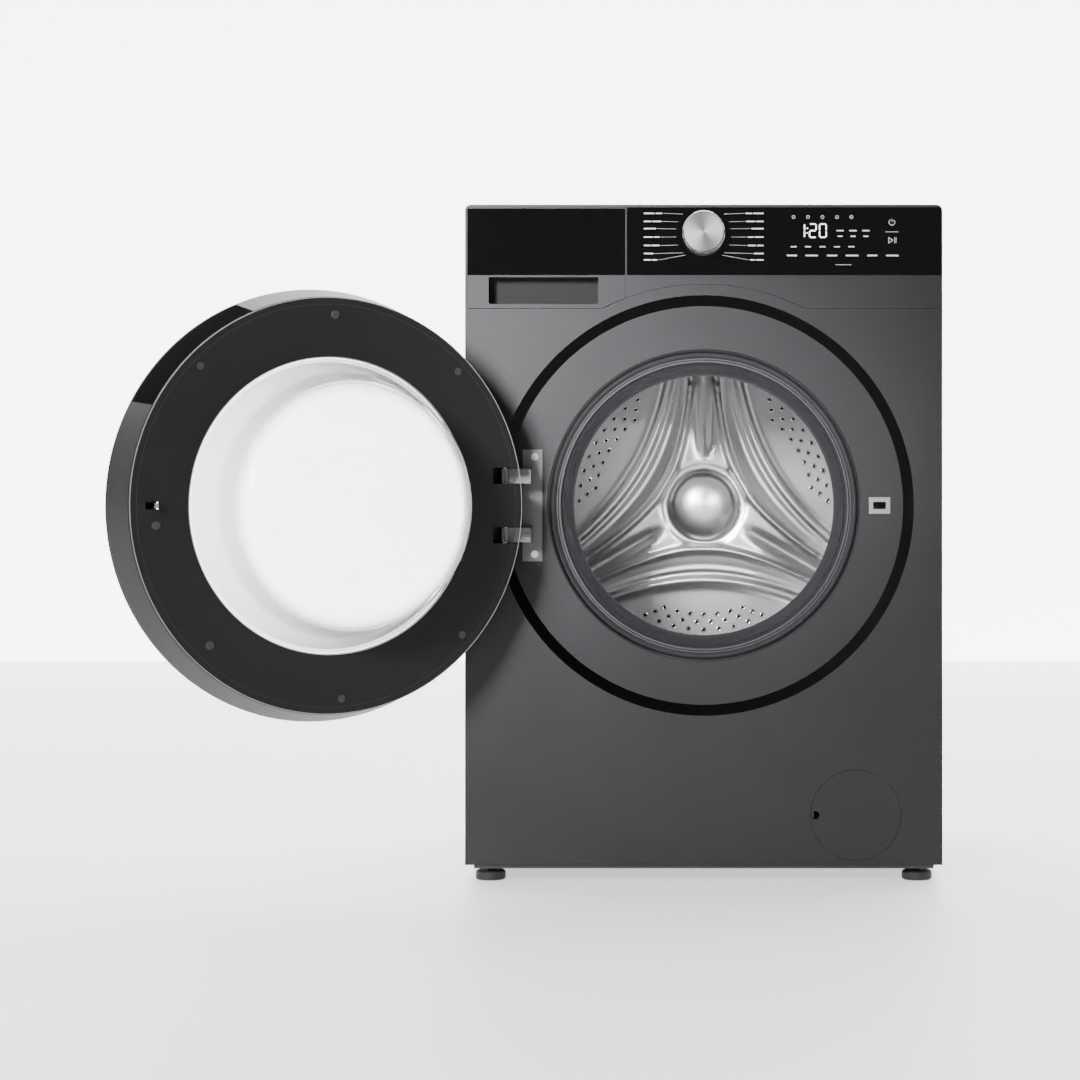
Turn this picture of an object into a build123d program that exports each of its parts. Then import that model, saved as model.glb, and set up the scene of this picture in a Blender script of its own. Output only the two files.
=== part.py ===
from build123d import *
import math
import os

# ---------------------------------------------------------------- driving sizes (mm)
# Axes: +X to the right, +Y to the rear, +Z up. Origin on the floor under the cabinet's centre.
WIDTH = 595.0
HEIGHT = 845.0
DEPTH = 565.0
SHEET = 1.2
BASE_Z = 22.0
STRIP_Z = 17.0
CORNER_R = 7.5
FLANGE = 18.0
PANEL_RETURN = 20.0
CLEAR = 0.3

# worktop and control panel
WORKTOP_T = 16.0
WORKTOP_LIP = 2.5
PANEL_H = 129.5
PANEL_DEPTH = 45.0
PANEL_WALL = 2.5
GLASS_H = 86.0
GLASS_T = 3.0
ARC_R = 276.0
DRAWER_W = 196.7
DRAWER_SIDE = 3.0

# porthole, drum and tub, all on one axis along Y
AXIS_Z = 470.0
RECESS_R = 262.0
RECESS_FLOOR_R = 250.0
RECESS_D = 24.0
PORT_R = 192.0
PORT_LIP = 16.0
PANEL_T = 1.5
LIP_R = 164.0
TUB_R = 256.0
TUB_WALL = 3.0
TUB_FRONT = 85.0
TUB_LENGTH = 362.5
TUB_SPLIT = 262.0
NECK_R = 178.0
DRUM_R = 245.0
DRUM_T = 1.0
DRUM_FRONT = 97.5
DRUM_LENGTH = 322.5
MOUTH_R = 170.0
SHAFT_R = 15.0
SHAFT_END_R = 10.0
BEARING_R = 31.0
BEARING_W = 16.0
PULLEY_R = 150.0
PULLEY_W = 16.0
MOTOR_R = 52.0
MOTOR_LENGTH = 150.0
MOTOR_PULLEY_R = 12.0
MOTOR_ANGLE = 245.0
BELT_T = 3.0
SUMP_W = 130.0
SUMP_D = 28.0

# door, sized as closed
DOOR_OPEN = 152.0
DOOR_R = 259.5
DOOR_BACK_R = 247.5
DOOR_GAP = 3.0
DOOR_THICK = 61.0
DOOR_WALL = 3.0
WINDOW_R = 205.0
GLASS_R = 175.5
GLASS_WALL = 4.0
BOWL_DEPTH = 95.0
HINGE_X = -246.0
HINGE_OUT = 27.0
HINGE_Z = 36.4
ARM_H = 18.0
ARM_T = 3.0
ARM_X = 30.5
PIN_R = 2.5
PLATE_T = 1.5
RUN = 0.05
GRIP_FROM = 28.0
GRIP_TO = 67.0
LATCH_X = 220.4

# filter, feet, springs and dampers
FILTER_X = 189.4
FILTER_Z = 84.0
COVER_R = 56.2
COVER_T = 2.5
FOOT_X = 268.0
FOOT_Y = 245.0
FOOT_R = 19.0
FOOT_PAD = 12.0
STEM_R = 5.0
STEM_TOP = 62.0
SPRING_X = 200.0
SPRING_Y = 40.0
SPRING_R = 13.0
DAMPER_X = 185.0
DAMPER_Y = -60.0
KNOB_Z = HEIGHT - 36.0
KNOB_R = 27.8
KNOB_OUT = 24.0

FRONT = -DEPTH / 2
REAR = DEPTH / 2
HALF = WIDTH / 2
BODY_TOP = HEIGHT - WORKTOP_T
PANEL_Z = HEIGHT - PANEL_H
GLASS_Z = HEIGHT - WORKTOP_LIP - GLASS_H + 0.5
INNER = HALF - SHEET
DRAWER_X0 = -HALF + DRAWER_SIDE
DRAWER_X1 = DRAWER_X0 + DRAWER_W
DISC_Y = FRONT + RECESS_D - DOOR_GAP
RIM_Y = DISC_Y - DOOR_THICK
HINGE_Y = FRONT - HINGE_OUT
PARTS = {}


# ---------------------------------------------------------------- helpers
def block(x0, x1, y0, y1, z0, z1):
    """A box between two corners."""
    centre = ((x0 + x1) / 2, (y0 + y1) / 2, (z0 + z1) / 2)
    return Pos(*centre) * Box(abs(x1 - x0), abs(y1 - y0), abs(z1 - z0))


def rod_y(radius, y0, y1, x=0.0, z=AXIS_Z):
    """A cylinder along Y."""
    return Pos(x, (y0 + y1) / 2, z) * Rot(90, 0, 0) * Cylinder(radius, abs(y1 - y0))


def rod_z(radius, z0, z1, x, y):
    """A cylinder along Z."""
    return Pos(x, y, (z0 + z1) / 2) * Cylinder(radius, z1 - z0)


def rod_x(radius, x0, x1, y, z):
    """A cylinder along X."""
    return Pos((x0 + x1) / 2, y, z) * Rot(0, 90, 0) * Cylinder(radius, x1 - x0)


def ring_y(outer, inner, y0, y1, x=0.0, z=AXIS_Z):
    """A tube along Y."""
    return rod_y(outer, y0, y1, x, z) - rod_y(inner, y0 - 1, y1 + 1, x, z)


def ring_z(outer, inner, z0, z1, x, y):
    """A tube along Z."""
    return rod_z(outer, z0, z1, x, y) - rod_z(inner, z0 - 1, z1 + 1, x, y)


def turned(points, x=0.0, z=AXIS_Z):
    """A closed outline of (radius, y) points, turned about an axis along Y."""
    outline = make_face(Polyline(*points, close=True))
    return Pos(x, 0, z) * revolve(outline, Axis.Y, 360)


def sector(outer, inner, y0, y1, start, end):
    """A part of a tube along Y, between two angles from +X towards +Z."""
    reach = outer * 1.5
    count = 8
    angles = [math.radians(start + (end - start) * i / count) for i in range(count + 1)]
    corners = [(reach * math.cos(a), reach * math.sin(a)) for a in angles]
    wedge = make_face(Polyline((0, 0), *corners, close=True))
    slab = Pos(0, y1, AXIS_Z) * Rot(90, 0, 0) * extrude(wedge, y1 - y0)
    return ring_y(outer, inner, y0, y1) & slab


def around(piece, count, start=0.0):
    """Copies of a piece turned about the drum's axis."""
    pivot = Pos(0, 0, AXIS_Z)
    back = Pos(0, 0, -AXIS_Z)
    return [pivot * Rot(0, start + 360.0 * i / count, 0) * back * piece for i in range(count)]


def add(node, *pieces):
    """Keeps the solids of one node."""
    solids = []
    for piece in pieces:
        solids.extend(piece.solids())
    PARTS.setdefault(node, []).extend(solids)


def envelope(y0, y1, inset=0.0):
    """The cabinet's outline with its rounded top corners, as a prism along Y."""
    high = HEIGHT - inset
    wide = HALF - inset
    radius = CORNER_R - inset
    full = block(-wide, wide, y0, y1, 0, high)
    tops = full.edges().filter_by(Axis.Y).sort_by(Axis.Z)[-2:]
    return fillet(tops, radius)


# ---------------------------------------------------------------- cabinet
def cabinet_wrap():
    """Side panels with their front and rear flanges, one folded sheet on each side."""
    y0 = FRONT + PANEL_RETURN
    shape = []
    for side in (-1, 1):
        wall = block(side * INNER, side * HALF, y0, REAR, BASE_Z, BODY_TOP)
        front_flange = block(side * (INNER - FLANGE), side * INNER, y0, y0 + SHEET, BASE_Z, PANEL_Z)
        rear_flange = block(side * (INNER - FLANGE), side * INNER, REAR - SHEET, REAR, BASE_Z, BODY_TOP)
        notch = block(side * INNER, side * HALF, y0, FRONT + PANEL_DEPTH, PANEL_Z, BODY_TOP)
        shape.append(wall + front_flange + rear_flange - notch)
    add("cabinet_wrap", *shape)


REAR_IN = REAR - SHEET
REAR_FACE = REAR_IN - SHEET
TRANSIT_X = 140.0
TRANSIT_Z = 170.0
TRANSIT_R = 6.5
VALVE_X = -245.0
VALVE_Z = HEIGHT - 57.0
VALVE_R = 13.2
DRAIN_X = 235.0
DRAIN_Z = HEIGHT - 85.0
DRAIN_R = 11.0
GLAND_X = -250.0
GLAND_Z = 690.0
GLAND_R = 8.0
CORD_R = 3.6


def rear_panel():
    """Rear sheet with its stamped dome, transit bolt holes and the holes for the connections."""
    side = INNER - CLEAR
    sheet = block(-side, side, REAR_FACE, REAR_IN, BASE_Z + 2, BODY_TOP)
    dome_r = 165.0
    dome_out = 8.0
    sheet -= rod_y(dome_r, REAR_FACE - 1, REAR_IN + 1)
    dome = turned(
        [
            (0, REAR_IN + dome_out - SHEET), (dome_r - 12, REAR_IN + dome_out - SHEET),
            (dome_r, REAR_FACE), (dome_r, REAR_IN), (dome_r - 12 + SHEET, REAR_IN + dome_out),
            (0, REAR_IN + dome_out),
        ]
    )
    panel = sheet + dome
    for sx in (-1, 1):
        for sz in (-1, 1):
            panel -= rod_y(TRANSIT_R, REAR_FACE - 1, REAR + 1, sx * TRANSIT_X, AXIS_Z + sz * TRANSIT_Z)
    panel -= rod_y(VALVE_R + CLEAR, REAR_FACE - 1, REAR + 1, VALVE_X, VALVE_Z)
    panel -= rod_y(DRAIN_R + CLEAR, REAR_FACE - 1, REAR + 1, DRAIN_X, DRAIN_Z)
    panel -= rod_y(GLAND_R, REAR_FACE - 1, REAR + 1, GLAND_X, GLAND_Z)
    add("rear_panel", panel)


def port_dish():
    """The sheet that steps back round the porthole and curls in at its edge."""
    floor_y = FRONT + RECESS_D
    end_y = floor_y + PORT_LIP
    return turned(
        [
            (RECESS_R + 1, FRONT), (RECESS_R, FRONT), (RECESS_FLOOR_R, floor_y),
            (PORT_R + 3, floor_y), (PORT_R, floor_y + 3), (PORT_R, end_y),
            (PORT_R + PANEL_T, end_y), (PORT_R + PANEL_T, floor_y + PANEL_T + 2),
            (PORT_R + PANEL_T + 2, floor_y + PANEL_T), (RECESS_FLOOR_R + 1, floor_y + PANEL_T),
            (RECESS_R + 1, FRONT + PANEL_T),
        ]
    )


LOCK_W = 26.6
LOCK_H = 20.6
SLOT_W = 16.0
SLOT_H = 9.0


def front_panel():
    """Front sheet with folded edges, the porthole dish, and an arc that rises over the dish."""
    top = PANEL_Z - CLEAR
    plate = block(-HALF, HALF, FRONT, FRONT + PANEL_T, BASE_Z, top)
    plate += rod_y(ARC_R - CLEAR, FRONT, FRONT + PANEL_T) - block(
        -HALF, HALF, FRONT - 1, FRONT + 5, 0, AXIS_Z
    )
    plate -= rod_y(RECESS_R + 0.5, FRONT - 1, FRONT + 5)
    panel = plate + port_dish()
    for side in (-1, 1):
        edge = side * (HALF - PANEL_T)
        panel += block(edge, side * HALF, FRONT, FRONT + PANEL_RETURN, BASE_Z, top)
    panel += block(-HALF, HALF, FRONT, FRONT + PANEL_RETURN, BASE_Z, BASE_Z + PANEL_T)
    panel -= rod_y(COVER_R + 0.5, FRONT - 1, FRONT + 5, FILTER_X, FILTER_Z)
    panel -= block(
        LATCH_X - SLOT_W / 2 - 1, LATCH_X + SLOT_W / 2 + 1, FRONT, FRONT + 40,
        AXIS_Z - SLOT_H / 2 - 1, AXIS_Z + SLOT_H / 2 + 1,
    )
    add("front_panel", panel)


def worktop():
    """Top plate: a slab between the sides with a thin lip over the control panel."""
    slab = envelope(FRONT + PANEL_DEPTH, REAR) & block(
        -HALF, HALF, FRONT, REAR, BODY_TOP, HEIGHT + 1
    )
    wall = 4.0
    slab -= block(
        -HALF + 25, HALF - 25, FRONT + PANEL_DEPTH + 25, REAR - 25, BODY_TOP - 1, HEIGHT - wall
    )
    lip = envelope(FRONT, FRONT + PANEL_DEPTH) & block(
        -HALF, HALF, FRONT, REAR, HEIGHT - WORKTOP_LIP, HEIGHT + 1
    )
    add("worktop", slab + lip)


CROSS_W = 30.0
CROSS_H = 22.0
CROSS_T = 1.5
CROSS_YS = (SPRING_Y, 200.0)


def top_crossbars():
    """Two open channels across the cabinet; the springs hang from the front one."""
    z1 = BODY_TOP
    z0 = z1 - CROSS_H
    for y in CROSS_YS:
        bar = block(-INNER, INNER, y - CROSS_W / 2, y + CROSS_W / 2, z0, z1)
        bar -= block(-INNER - 1, INNER + 1, y - CROSS_W / 2 + CROSS_T, y + CROSS_W / 2 - CROSS_T,
                     z0 + CROSS_T, z1 + 1)
        for side in (-1, 1):
            bar -= rod_z(3.5, z0 - 1, z0 + CROSS_T + 1, side * SPRING_X, y)
        add("top_crossbars", bar)


TRAY_T = 2.5
TRAY_H = 38.0
TRAY_IN = 10.5


def base_tray():
    """Moulded base: a low tray with four foot bosses, stepped in at its lowest strip."""
    y0 = FRONT + PANEL_RETURN + SHEET
    y1 = REAR_FACE
    x = INNER
    low = block(-HALF + TRAY_IN, HALF - TRAY_IN, FRONT + 6.5, REAR - 6.5, STRIP_Z, BASE_Z)
    top = block(-x, x, y0, y1, BASE_Z, STRIP_Z + TRAY_H)
    top -= block(-x + TRAY_T, x - TRAY_T, y0 + TRAY_T, y1 - TRAY_T, BASE_Z + 0.5, HEIGHT)
    low -= block(-x + 4 * TRAY_IN, x - 4 * TRAY_IN, FRONT + 40, REAR - 40, STRIP_Z - 1, BASE_Z - 2)
    tray = low + top
    for sx in (-1, 1):
        for sy in (-1, 1):
            x0, y = sx * FOOT_X, sy * FOOT_Y
            tray += rod_z(14, STRIP_Z, STRIP_Z + TRAY_H, x0, y)
    for sx in (-1, 1):
        tray += rod_z(16, BASE_Z, STRIP_Z + 20, sx * DAMPER_X, DAMPER_Y)
        for sy in (-1, 1):
            x0, y = sx * FOOT_X, sy * FOOT_Y
            tray -= rod_z(STEM_R + CLEAR, STRIP_Z - 1, HEIGHT / 4, x0, y)
    tray -= rod_y(COVER_R + 4, FRONT, FRONT + 42, FILTER_X, FILTER_Z)
    add("base_tray", tray)


def feet():
    """Four screw feet: a rubber pad and a hexagon on a threaded stem, and a lock nut on each."""
    names = {
        (-1, -1): "foot_front_left", (1, -1): "foot_front_right",
        (-1, 1): "foot_rear_left", (1, 1): "foot_rear_right",
    }
    for (sx, sy), name in names.items():
        x, y = sx * FOOT_X, sy * FOOT_Y
        pad = rod_z(FOOT_R, 0, FOOT_PAD, x, y)
        pad = chamfer(pad.edges().filter_by(GeomType.CIRCLE), 2.0)
        hexagon = Pos(x, y, FOOT_PAD) * extrude(RegularPolygon(7.0, 6), 4.6)
        stem = rod_z(STEM_R, FOOT_PAD, STEM_TOP, x, y)
        add(name, pad + hexagon + stem)
        nut = Pos(x, y, STRIP_Z + TRAY_H) * extrude(RegularPolygon(9.2, 6), 5.0)
        add("foot_lock_nuts", nut - rod_z(STEM_R + RUN, 0, HEIGHT / 4, x, y))


# ---------------------------------------------------------------- control panel
def arc_cut(gap, y0, y1):
    """The disc that the control panel's lower edge curves round."""
    return rod_y(ARC_R + gap, y0, y1)


def fascia():
    """Control panel frame: a hollow moulding with the drawer's opening and a seat for the glass."""
    y1 = FRONT + PANEL_DEPTH
    top = HEIGHT - WORKTOP_LIP
    body = block(-HALF, HALF, FRONT, y1, PANEL_Z, top) & envelope(FRONT, y1)
    body -= arc_cut(0, FRONT - 1, y1 + 1)
    hollow = block(
        DRAWER_X1 + PANEL_WALL, HALF - PANEL_WALL, FRONT + 2 * GLASS_T, y1 + 1,
        PANEL_Z + PANEL_WALL, top - PANEL_WALL,
    )
    hollow -= arc_cut(PANEL_WALL, FRONT - 1, y1 + 2)
    opening = block(DRAWER_X0, DRAWER_X1, FRONT - 1, y1 + 1, PANEL_Z - 1, top - PANEL_WALL)
    seat = block(DRAWER_X1 + 2, HALF, FRONT - 1, FRONT + GLASS_T, GLASS_Z, top - 1)
    seat &= envelope(FRONT - 2, FRONT + 10, 1.0)
    body = body - hollow - opening - seat
    body -= rod_y(4, FRONT - 1, FRONT + 9, 0, KNOB_Z)
    add("fascia", body)


def control_glass():
    """Gloss black front of the control panel, right of the drawer."""
    top = HEIGHT - WORKTOP_LIP
    pane = block(
        DRAWER_X1 + 2 + CLEAR, HALF, FRONT, FRONT + GLASS_T, GLASS_Z + CLEAR, top - 1 - CLEAR
    )
    pane &= envelope(FRONT - 2, FRONT + 10, 1.0 + CLEAR)
    pane -= rod_y(4, FRONT - 1, FRONT + 9, 0, KNOB_Z)
    add("control_glass", pane)


BOARD_Y = FRONT + 18.0
ENCODER_D = 10.0
DISPLAY_X = (99.0, 249.4)
DISPLAY_Z = (HEIGHT - 71.5, HEIGHT - 9.0)


def control_board():
    """Circuit board with the knob's encoder and the display block behind the glass."""
    board = block(-70, 262, BOARD_Y, BOARD_Y + 1.6, HEIGHT - 79, HEIGHT - 8)
    encoder = block(-9, 9, BOARD_Y - ENCODER_D, BOARD_Y, KNOB_Z - 9, KNOB_Z + 9)
    encoder -= rod_y(PIN_R + RUN, BOARD_Y - ENCODER_D - 1, BOARD_Y - 2, 0, KNOB_Z)
    display = block(
        DISPLAY_X[0], DISPLAY_X[1], BOARD_Y - 11.7, BOARD_Y, DISPLAY_Z[0], DISPLAY_Z[1] - 2
    )
    add("control_board", board + encoder + display)


def program_knob():
    """Programme knob: a dished brushed face in a bright skirt, on a shaft into the encoder."""
    y0 = FRONT - KNOB_OUT
    shape = turned(
        [
            (0, y0 + 1.0), (KNOB_R - 3.5, y0), (KNOB_R - 2.0, y0), (KNOB_R - 1.0, y0 + 1.2),
            (KNOB_R, FRONT - 1.0), (PIN_R, FRONT - 1.0), (PIN_R, BOARD_Y - 3.0), (0, BOARD_Y - 3.0),
        ],
        0,
        KNOB_Z,
    )
    add("program_knob", shape)


# ---------------------------------------------------------------- detergent drawer
GRIP_X = (-268.0, -131.5)
GRIP_Z = (HEIGHT - 124.0, HEIGHT - 90.5)
GRIP_D = 26.0
GRIP_LEDGE = 5.0
TRAVEL = 200.0
TRAY_TOP = HEIGHT - 19.0
TRAY_FLOOR = HEIGHT - 92.0
BOX_FLOOR = HEIGHT - 99.0
BOX_REAR = -20.0
TRAY_WALL = 2.0
BOX_GAP = 3.5


def drawer_front():
    """Drawer front: hollow behind, with a grip pocket below and a seat for the gloss inlay."""
    x0, x1 = DRAWER_X0 + CLEAR, DRAWER_X1 - CLEAR
    z0 = PANEL_Z + CLEAR
    z1 = HEIGHT - WORKTOP_LIP - PANEL_WALL - CLEAR
    y1 = FRONT + PANEL_DEPTH - 5
    body = block(x0, x1, FRONT, y1, z0, z1) - arc_cut(CLEAR, FRONT - 1, y1 + 1)
    body -= block(x0, x1, FRONT - 1, FRONT + GLASS_T, GLASS_Z, z1 + 1)
    wall = PANEL_WALL
    hollow = block(x0 + wall, x1 - wall, FRONT + 2 * GLASS_T, y1 - wall, GLASS_Z + 6, z1 - wall)
    body -= hollow
    pocket = block(GRIP_X[0], GRIP_X[1], FRONT - 1, FRONT + GRIP_D, GRIP_Z[0], GRIP_Z[1])
    corners = pocket.edges().filter_by(Axis.Y).sort_by(Axis.Z)[:2]
    pocket = fillet(corners, 3.4)
    body -= pocket
    body -= block(
        GRIP_X[0] + 8, GRIP_X[1] - 8, FRONT + 8, FRONT + GRIP_D, GRIP_Z[1] - 1, GRIP_Z[1] + GRIP_LEDGE
    )
    add("drawer_front", body)


def drawer_inlay():
    """Gloss black inlay of the drawer front, in line with the control panel's glass."""
    x0, x1 = DRAWER_X0 + CLEAR, DRAWER_X1 - CLEAR
    z1 = HEIGHT - WORKTOP_LIP - PANEL_WALL - CLEAR
    add("drawer_inlay", block(x0, x1, FRONT, FRONT + GLASS_T, GLASS_Z + CLEAR, z1))


def drawer_tray():
    """Detergent tray with three compartments and a siphon cap."""
    x0, x1 = DRAWER_X0 + 8, DRAWER_X1 - 8
    y0 = FRONT + PANEL_DEPTH - 5
    y1 = BOX_REAR - 12
    tray = block(x0, x1, y0, y1, TRAY_FLOOR, TRAY_TOP)
    w = TRAY_WALL
    span = (x1 - x0 - 4 * w) / 3
    for i in range(3):
        left = x0 + w + i * (span + w)
        tray -= block(left, left + span, y0 + w, y1 - w, TRAY_FLOOR + w, TRAY_TOP + 1)
    middle = x0 + 2 * w + 1.5 * span
    tray += rod_z(9, TRAY_FLOOR + w, TRAY_FLOOR + 45, middle, y1 - 22)
    add("drawer_tray", tray)


def dispenser_housing():
    """Fixed box that the tray slides in, open at the front, with a water outlet below."""
    x0, x1 = DRAWER_X0 + 8 - BOX_GAP, DRAWER_X1 - 8 + BOX_GAP
    y0 = FRONT + PANEL_DEPTH
    w = TRAY_WALL
    box = block(x0 - w, x1 + w, y0, BOX_REAR, BOX_FLOOR, TRAY_TOP + 3)
    box -= block(x0, x1, y0 - 1, BOX_REAR - w, BOX_FLOOR + w, TRAY_TOP + 3 - w)
    for x in (x0 + 12, x1 - 12):
        box += block(x - 3, x + 3, y0, BOX_REAR - w, BOX_FLOOR + w, TRAY_FLOOR - CLEAR)
    add("dispenser_housing", box)


# ---------------------------------------------------------------- water and power inlets
def inlet_valve():
    """Solenoid valve block with its threaded spigot through the rear panel."""
    body = block(VALVE_X - 24, VALVE_X + 24, REAR_FACE - 42, REAR_FACE, VALVE_Z - 22, VALVE_Z + 30)
    body += rod_y(VALVE_R - 0.6, REAR_FACE - 1, REAR + 2, VALVE_X, VALVE_Z)
    body += rod_y(VALVE_R, REAR + 1, REAR + 14, VALVE_X, VALVE_Z)
    body -= rod_y(8.5, REAR - 12, REAR + 15, VALVE_X, VALVE_Z)
    body += rod_y(6, REAR_FACE - 56, REAR_FACE - 41, VALVE_X, VALVE_Z)
    add("inlet_valve", body)


HOSE_R = 9.0


def pipe(points, radii, radius):
    """A solid hose along straight runs joined by tangent arcs."""
    path = FilletPolyline(*points, radius=radii)
    start = Vector(*points[0])
    heading = (Vector(*points[1]) - start).normalized()
    return sweep(Plane(origin=start, z_dir=heading) * Circle(radius), path=path)


def fill_hose():
    """Short hose from the valve to the back of the dispenser."""
    y0 = REAR_FACE - 56
    mid = (y0 + BOX_REAR) / 2
    x1 = VALVE_X + 8
    points = [
        (VALVE_X, y0, VALVE_Z), (VALVE_X, mid + 40, VALVE_Z),
        (x1, mid - 40, VALVE_Z), (x1, BOX_REAR, VALVE_Z),
    ]
    add("fill_hose", pipe(points, 25.0, HOSE_R))


def drain_outlet():
    """Drain spigot with a flange inside the rear panel."""
    flange = rod_y(DRAIN_R + 8, REAR_FACE - 3, REAR_FACE, DRAIN_X, DRAIN_Z)
    stub = rod_y(DRAIN_R - 0.6, REAR_FACE - 14, REAR + 2, DRAIN_X, DRAIN_Z)
    stub += rod_y(DRAIN_R, REAR + 1, REAR + 14, DRAIN_X, DRAIN_Z)
    bore = rod_y(DRAIN_R - 2.5, REAR_FACE - 20, REAR + 20, DRAIN_X, DRAIN_Z)
    add("drain_outlet", flange + stub - bore)


def cord_gland():
    """Flanged bushing where the mains cord would come out."""
    flange = rod_y(GLAND_R + 5, REAR_IN, REAR_IN + 3.5, GLAND_X, GLAND_Z)
    sleeve = rod_y(GLAND_R - CLEAR, REAR_FACE - 8, REAR_IN + 9, GLAND_X, GLAND_Z)
    bore = rod_y(CORD_R, REAR_FACE - 20, REAR + 20, GLAND_X, GLAND_Z)
    add("cord_gland", flange + sleeve - bore)


PIPE_R = 9.0
PUMP_R = 34.0
PUMP_BACK = FRONT + 128.0
PUMP_FRONT = FRONT + 24.0


def pump_housing():
    """Drain pump body: a strainer chamber open to the front and a volute behind it."""
    chamber = ring_y(PUMP_R, PUMP_R - 3, PUMP_FRONT, PUMP_BACK, FILTER_X, FILTER_Z)
    back = rod_y(PUMP_R, PUMP_BACK, PUMP_BACK + 3, FILTER_X, FILTER_Z)
    volute = ring_y(30, 27, PUMP_BACK + 3, PUMP_BACK + 25, FILTER_X, FILTER_Z)
    motor = rod_y(30, PUMP_BACK + 25, PUMP_BACK + 75, FILTER_X, FILTER_Z)
    motor -= rod_y(PIN_R + RUN, PUMP_BACK, PUMP_BACK + 45, FILTER_X, FILTER_Z)
    foot = block(
        FILTER_X - 26, FILTER_X + 26, PUMP_BACK - 60, PUMP_BACK + 3, BASE_Z + 0.5, FILTER_Z - PUMP_R + 1
    )
    foot -= rod_y(PUMP_R - 2, PUMP_FRONT, PUMP_BACK, FILTER_X, FILTER_Z)
    outlet = rod_y(PIPE_R, PUMP_BACK - 14, PUMP_BACK + 3 + 22, FILTER_X + 52, FILTER_Z)
    link = block(
        FILTER_X + 28, FILTER_X + 52, PUMP_BACK - 14, PUMP_BACK + 3, FILTER_Z - 8, FILTER_Z + 8
    )
    link -= rod_y(PUMP_R - 1, PUMP_FRONT, PUMP_BACK, FILTER_X, FILTER_Z)
    add("pump_housing", chamber + back + volute + motor + foot + outlet + link)


def pump_impeller():
    """Four bladed pump wheel on its shaft."""
    y0 = PUMP_BACK + 5
    wheel = rod_y(7, y0, y0 + 16, FILTER_X, FILTER_Z)
    wheel += rod_y(PIN_R, y0, PUMP_BACK + 44, FILTER_X, FILTER_Z)
    for i in range(2):
        blade = block(-24, 24, y0, y0 + 14, -1.2, 1.2)
        wheel += Pos(FILTER_X, 0, FILTER_Z) * Rot(0, 90 * i, 0) * blade
    add("pump_impeller", wheel)


def pump_filter():
    """Filter cap with a grip bar and its slotted strainer in the chamber."""
    r = PUMP_R - 3 - CLEAR
    y0 = PUMP_FRONT - 8
    cap = rod_y(PUMP_R, y0, PUMP_FRONT - CLEAR, FILTER_X, FILTER_Z)
    cap += block(FILTER_X - 24, FILTER_X + 24, y0 - 10, y0 + 1, FILTER_Z - 3.5, FILTER_Z + 3.5)
    plug = rod_y(r, PUMP_FRONT - 1, PUMP_FRONT + 14, FILTER_X, FILTER_Z)
    basket = ring_y(r - 3, r - 5.5, PUMP_FRONT + 13, PUMP_BACK - 8, FILTER_X, FILTER_Z)
    for i in range(3):
        slot = block(-r, r, PUMP_FRONT + 24, PUMP_BACK - 18, -4, 4)
        basket -= Pos(FILTER_X, 0, FILTER_Z) * Rot(0, 30 + 60 * i, 0) * slot
    add("pump_filter", cap + plug + basket)


def filter_cover():
    """Round service cover, flush in the front panel, on a hinge at its right side."""
    disc = rod_y(COVER_R, FRONT, FRONT + COVER_T, FILTER_X, FILTER_Z)
    disc -= Pos(FILTER_X - COVER_R + 6, FRONT, FILTER_Z) * Sphere(5.0)
    add("filter_cover", disc)


def drain_pipe():
    """Drain pipe from the pump along the right side and up the rear to the outlet."""
    x0 = FILTER_X + 52
    y0 = PUMP_BACK + 25
    x1, y1 = 272.0, 232.0
    points = [
        (x0, y0, FILTER_Z), (x0, y0 + 60, FILTER_Z), (x1, y0 + 120, FILTER_Z),
        (x1, y1 - 60, FILTER_Z), (x1, y1, FILTER_Z + 60), (x1, y1, DRAIN_Z - 90),
        (DRAIN_X, y1, DRAIN_Z - 40), (DRAIN_X, y1, DRAIN_Z), (DRAIN_X, REAR_FACE - 14, DRAIN_Z),
    ]
    add("drain_pipe", pipe(points, 18.0, PIPE_R))


# ---------------------------------------------------------------- lock and hinge
def lock_bezel():
    """Grey frame round the lock's slot on the recess floor."""
    y1 = FRONT + RECESS_D
    frame = block(
        LATCH_X - LOCK_W / 2, LATCH_X + LOCK_W / 2, y1 - 1.6, y1, AXIS_Z - LOCK_H / 2, AXIS_Z + LOCK_H / 2
    )
    frame -= block(
        LATCH_X - SLOT_W / 2, LATCH_X + SLOT_W / 2, y1 - 9, y1 + 9, AXIS_Z - SLOT_H / 2,
        AXIS_Z + SLOT_H / 2,
    )
    add("lock_bezel", frame)


LOCK_D = 30.0


def door_lock():
    """Lock body behind the recess floor, with a pocket that the latch hook enters."""
    y0 = FRONT + RECESS_D + PANEL_T
    body = block(LATCH_X - 18, LATCH_X + 18, y0, y0 + LOCK_D, AXIS_Z - 38, AXIS_Z + 38)
    body -= block(
        LATCH_X - SLOT_W / 2 - 2, LATCH_X + SLOT_W / 2 + 3, y0 - 1, y0 + LOCK_D - 4,
        AXIS_Z - SLOT_H / 2 - 1, AXIS_Z + SLOT_H / 2 + 1,
    )
    add("door_lock", body)


PLATE_X = (-227.0, -202.5)
PLATE_Z = 70.0
SCREW_Z = 61.0


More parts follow.
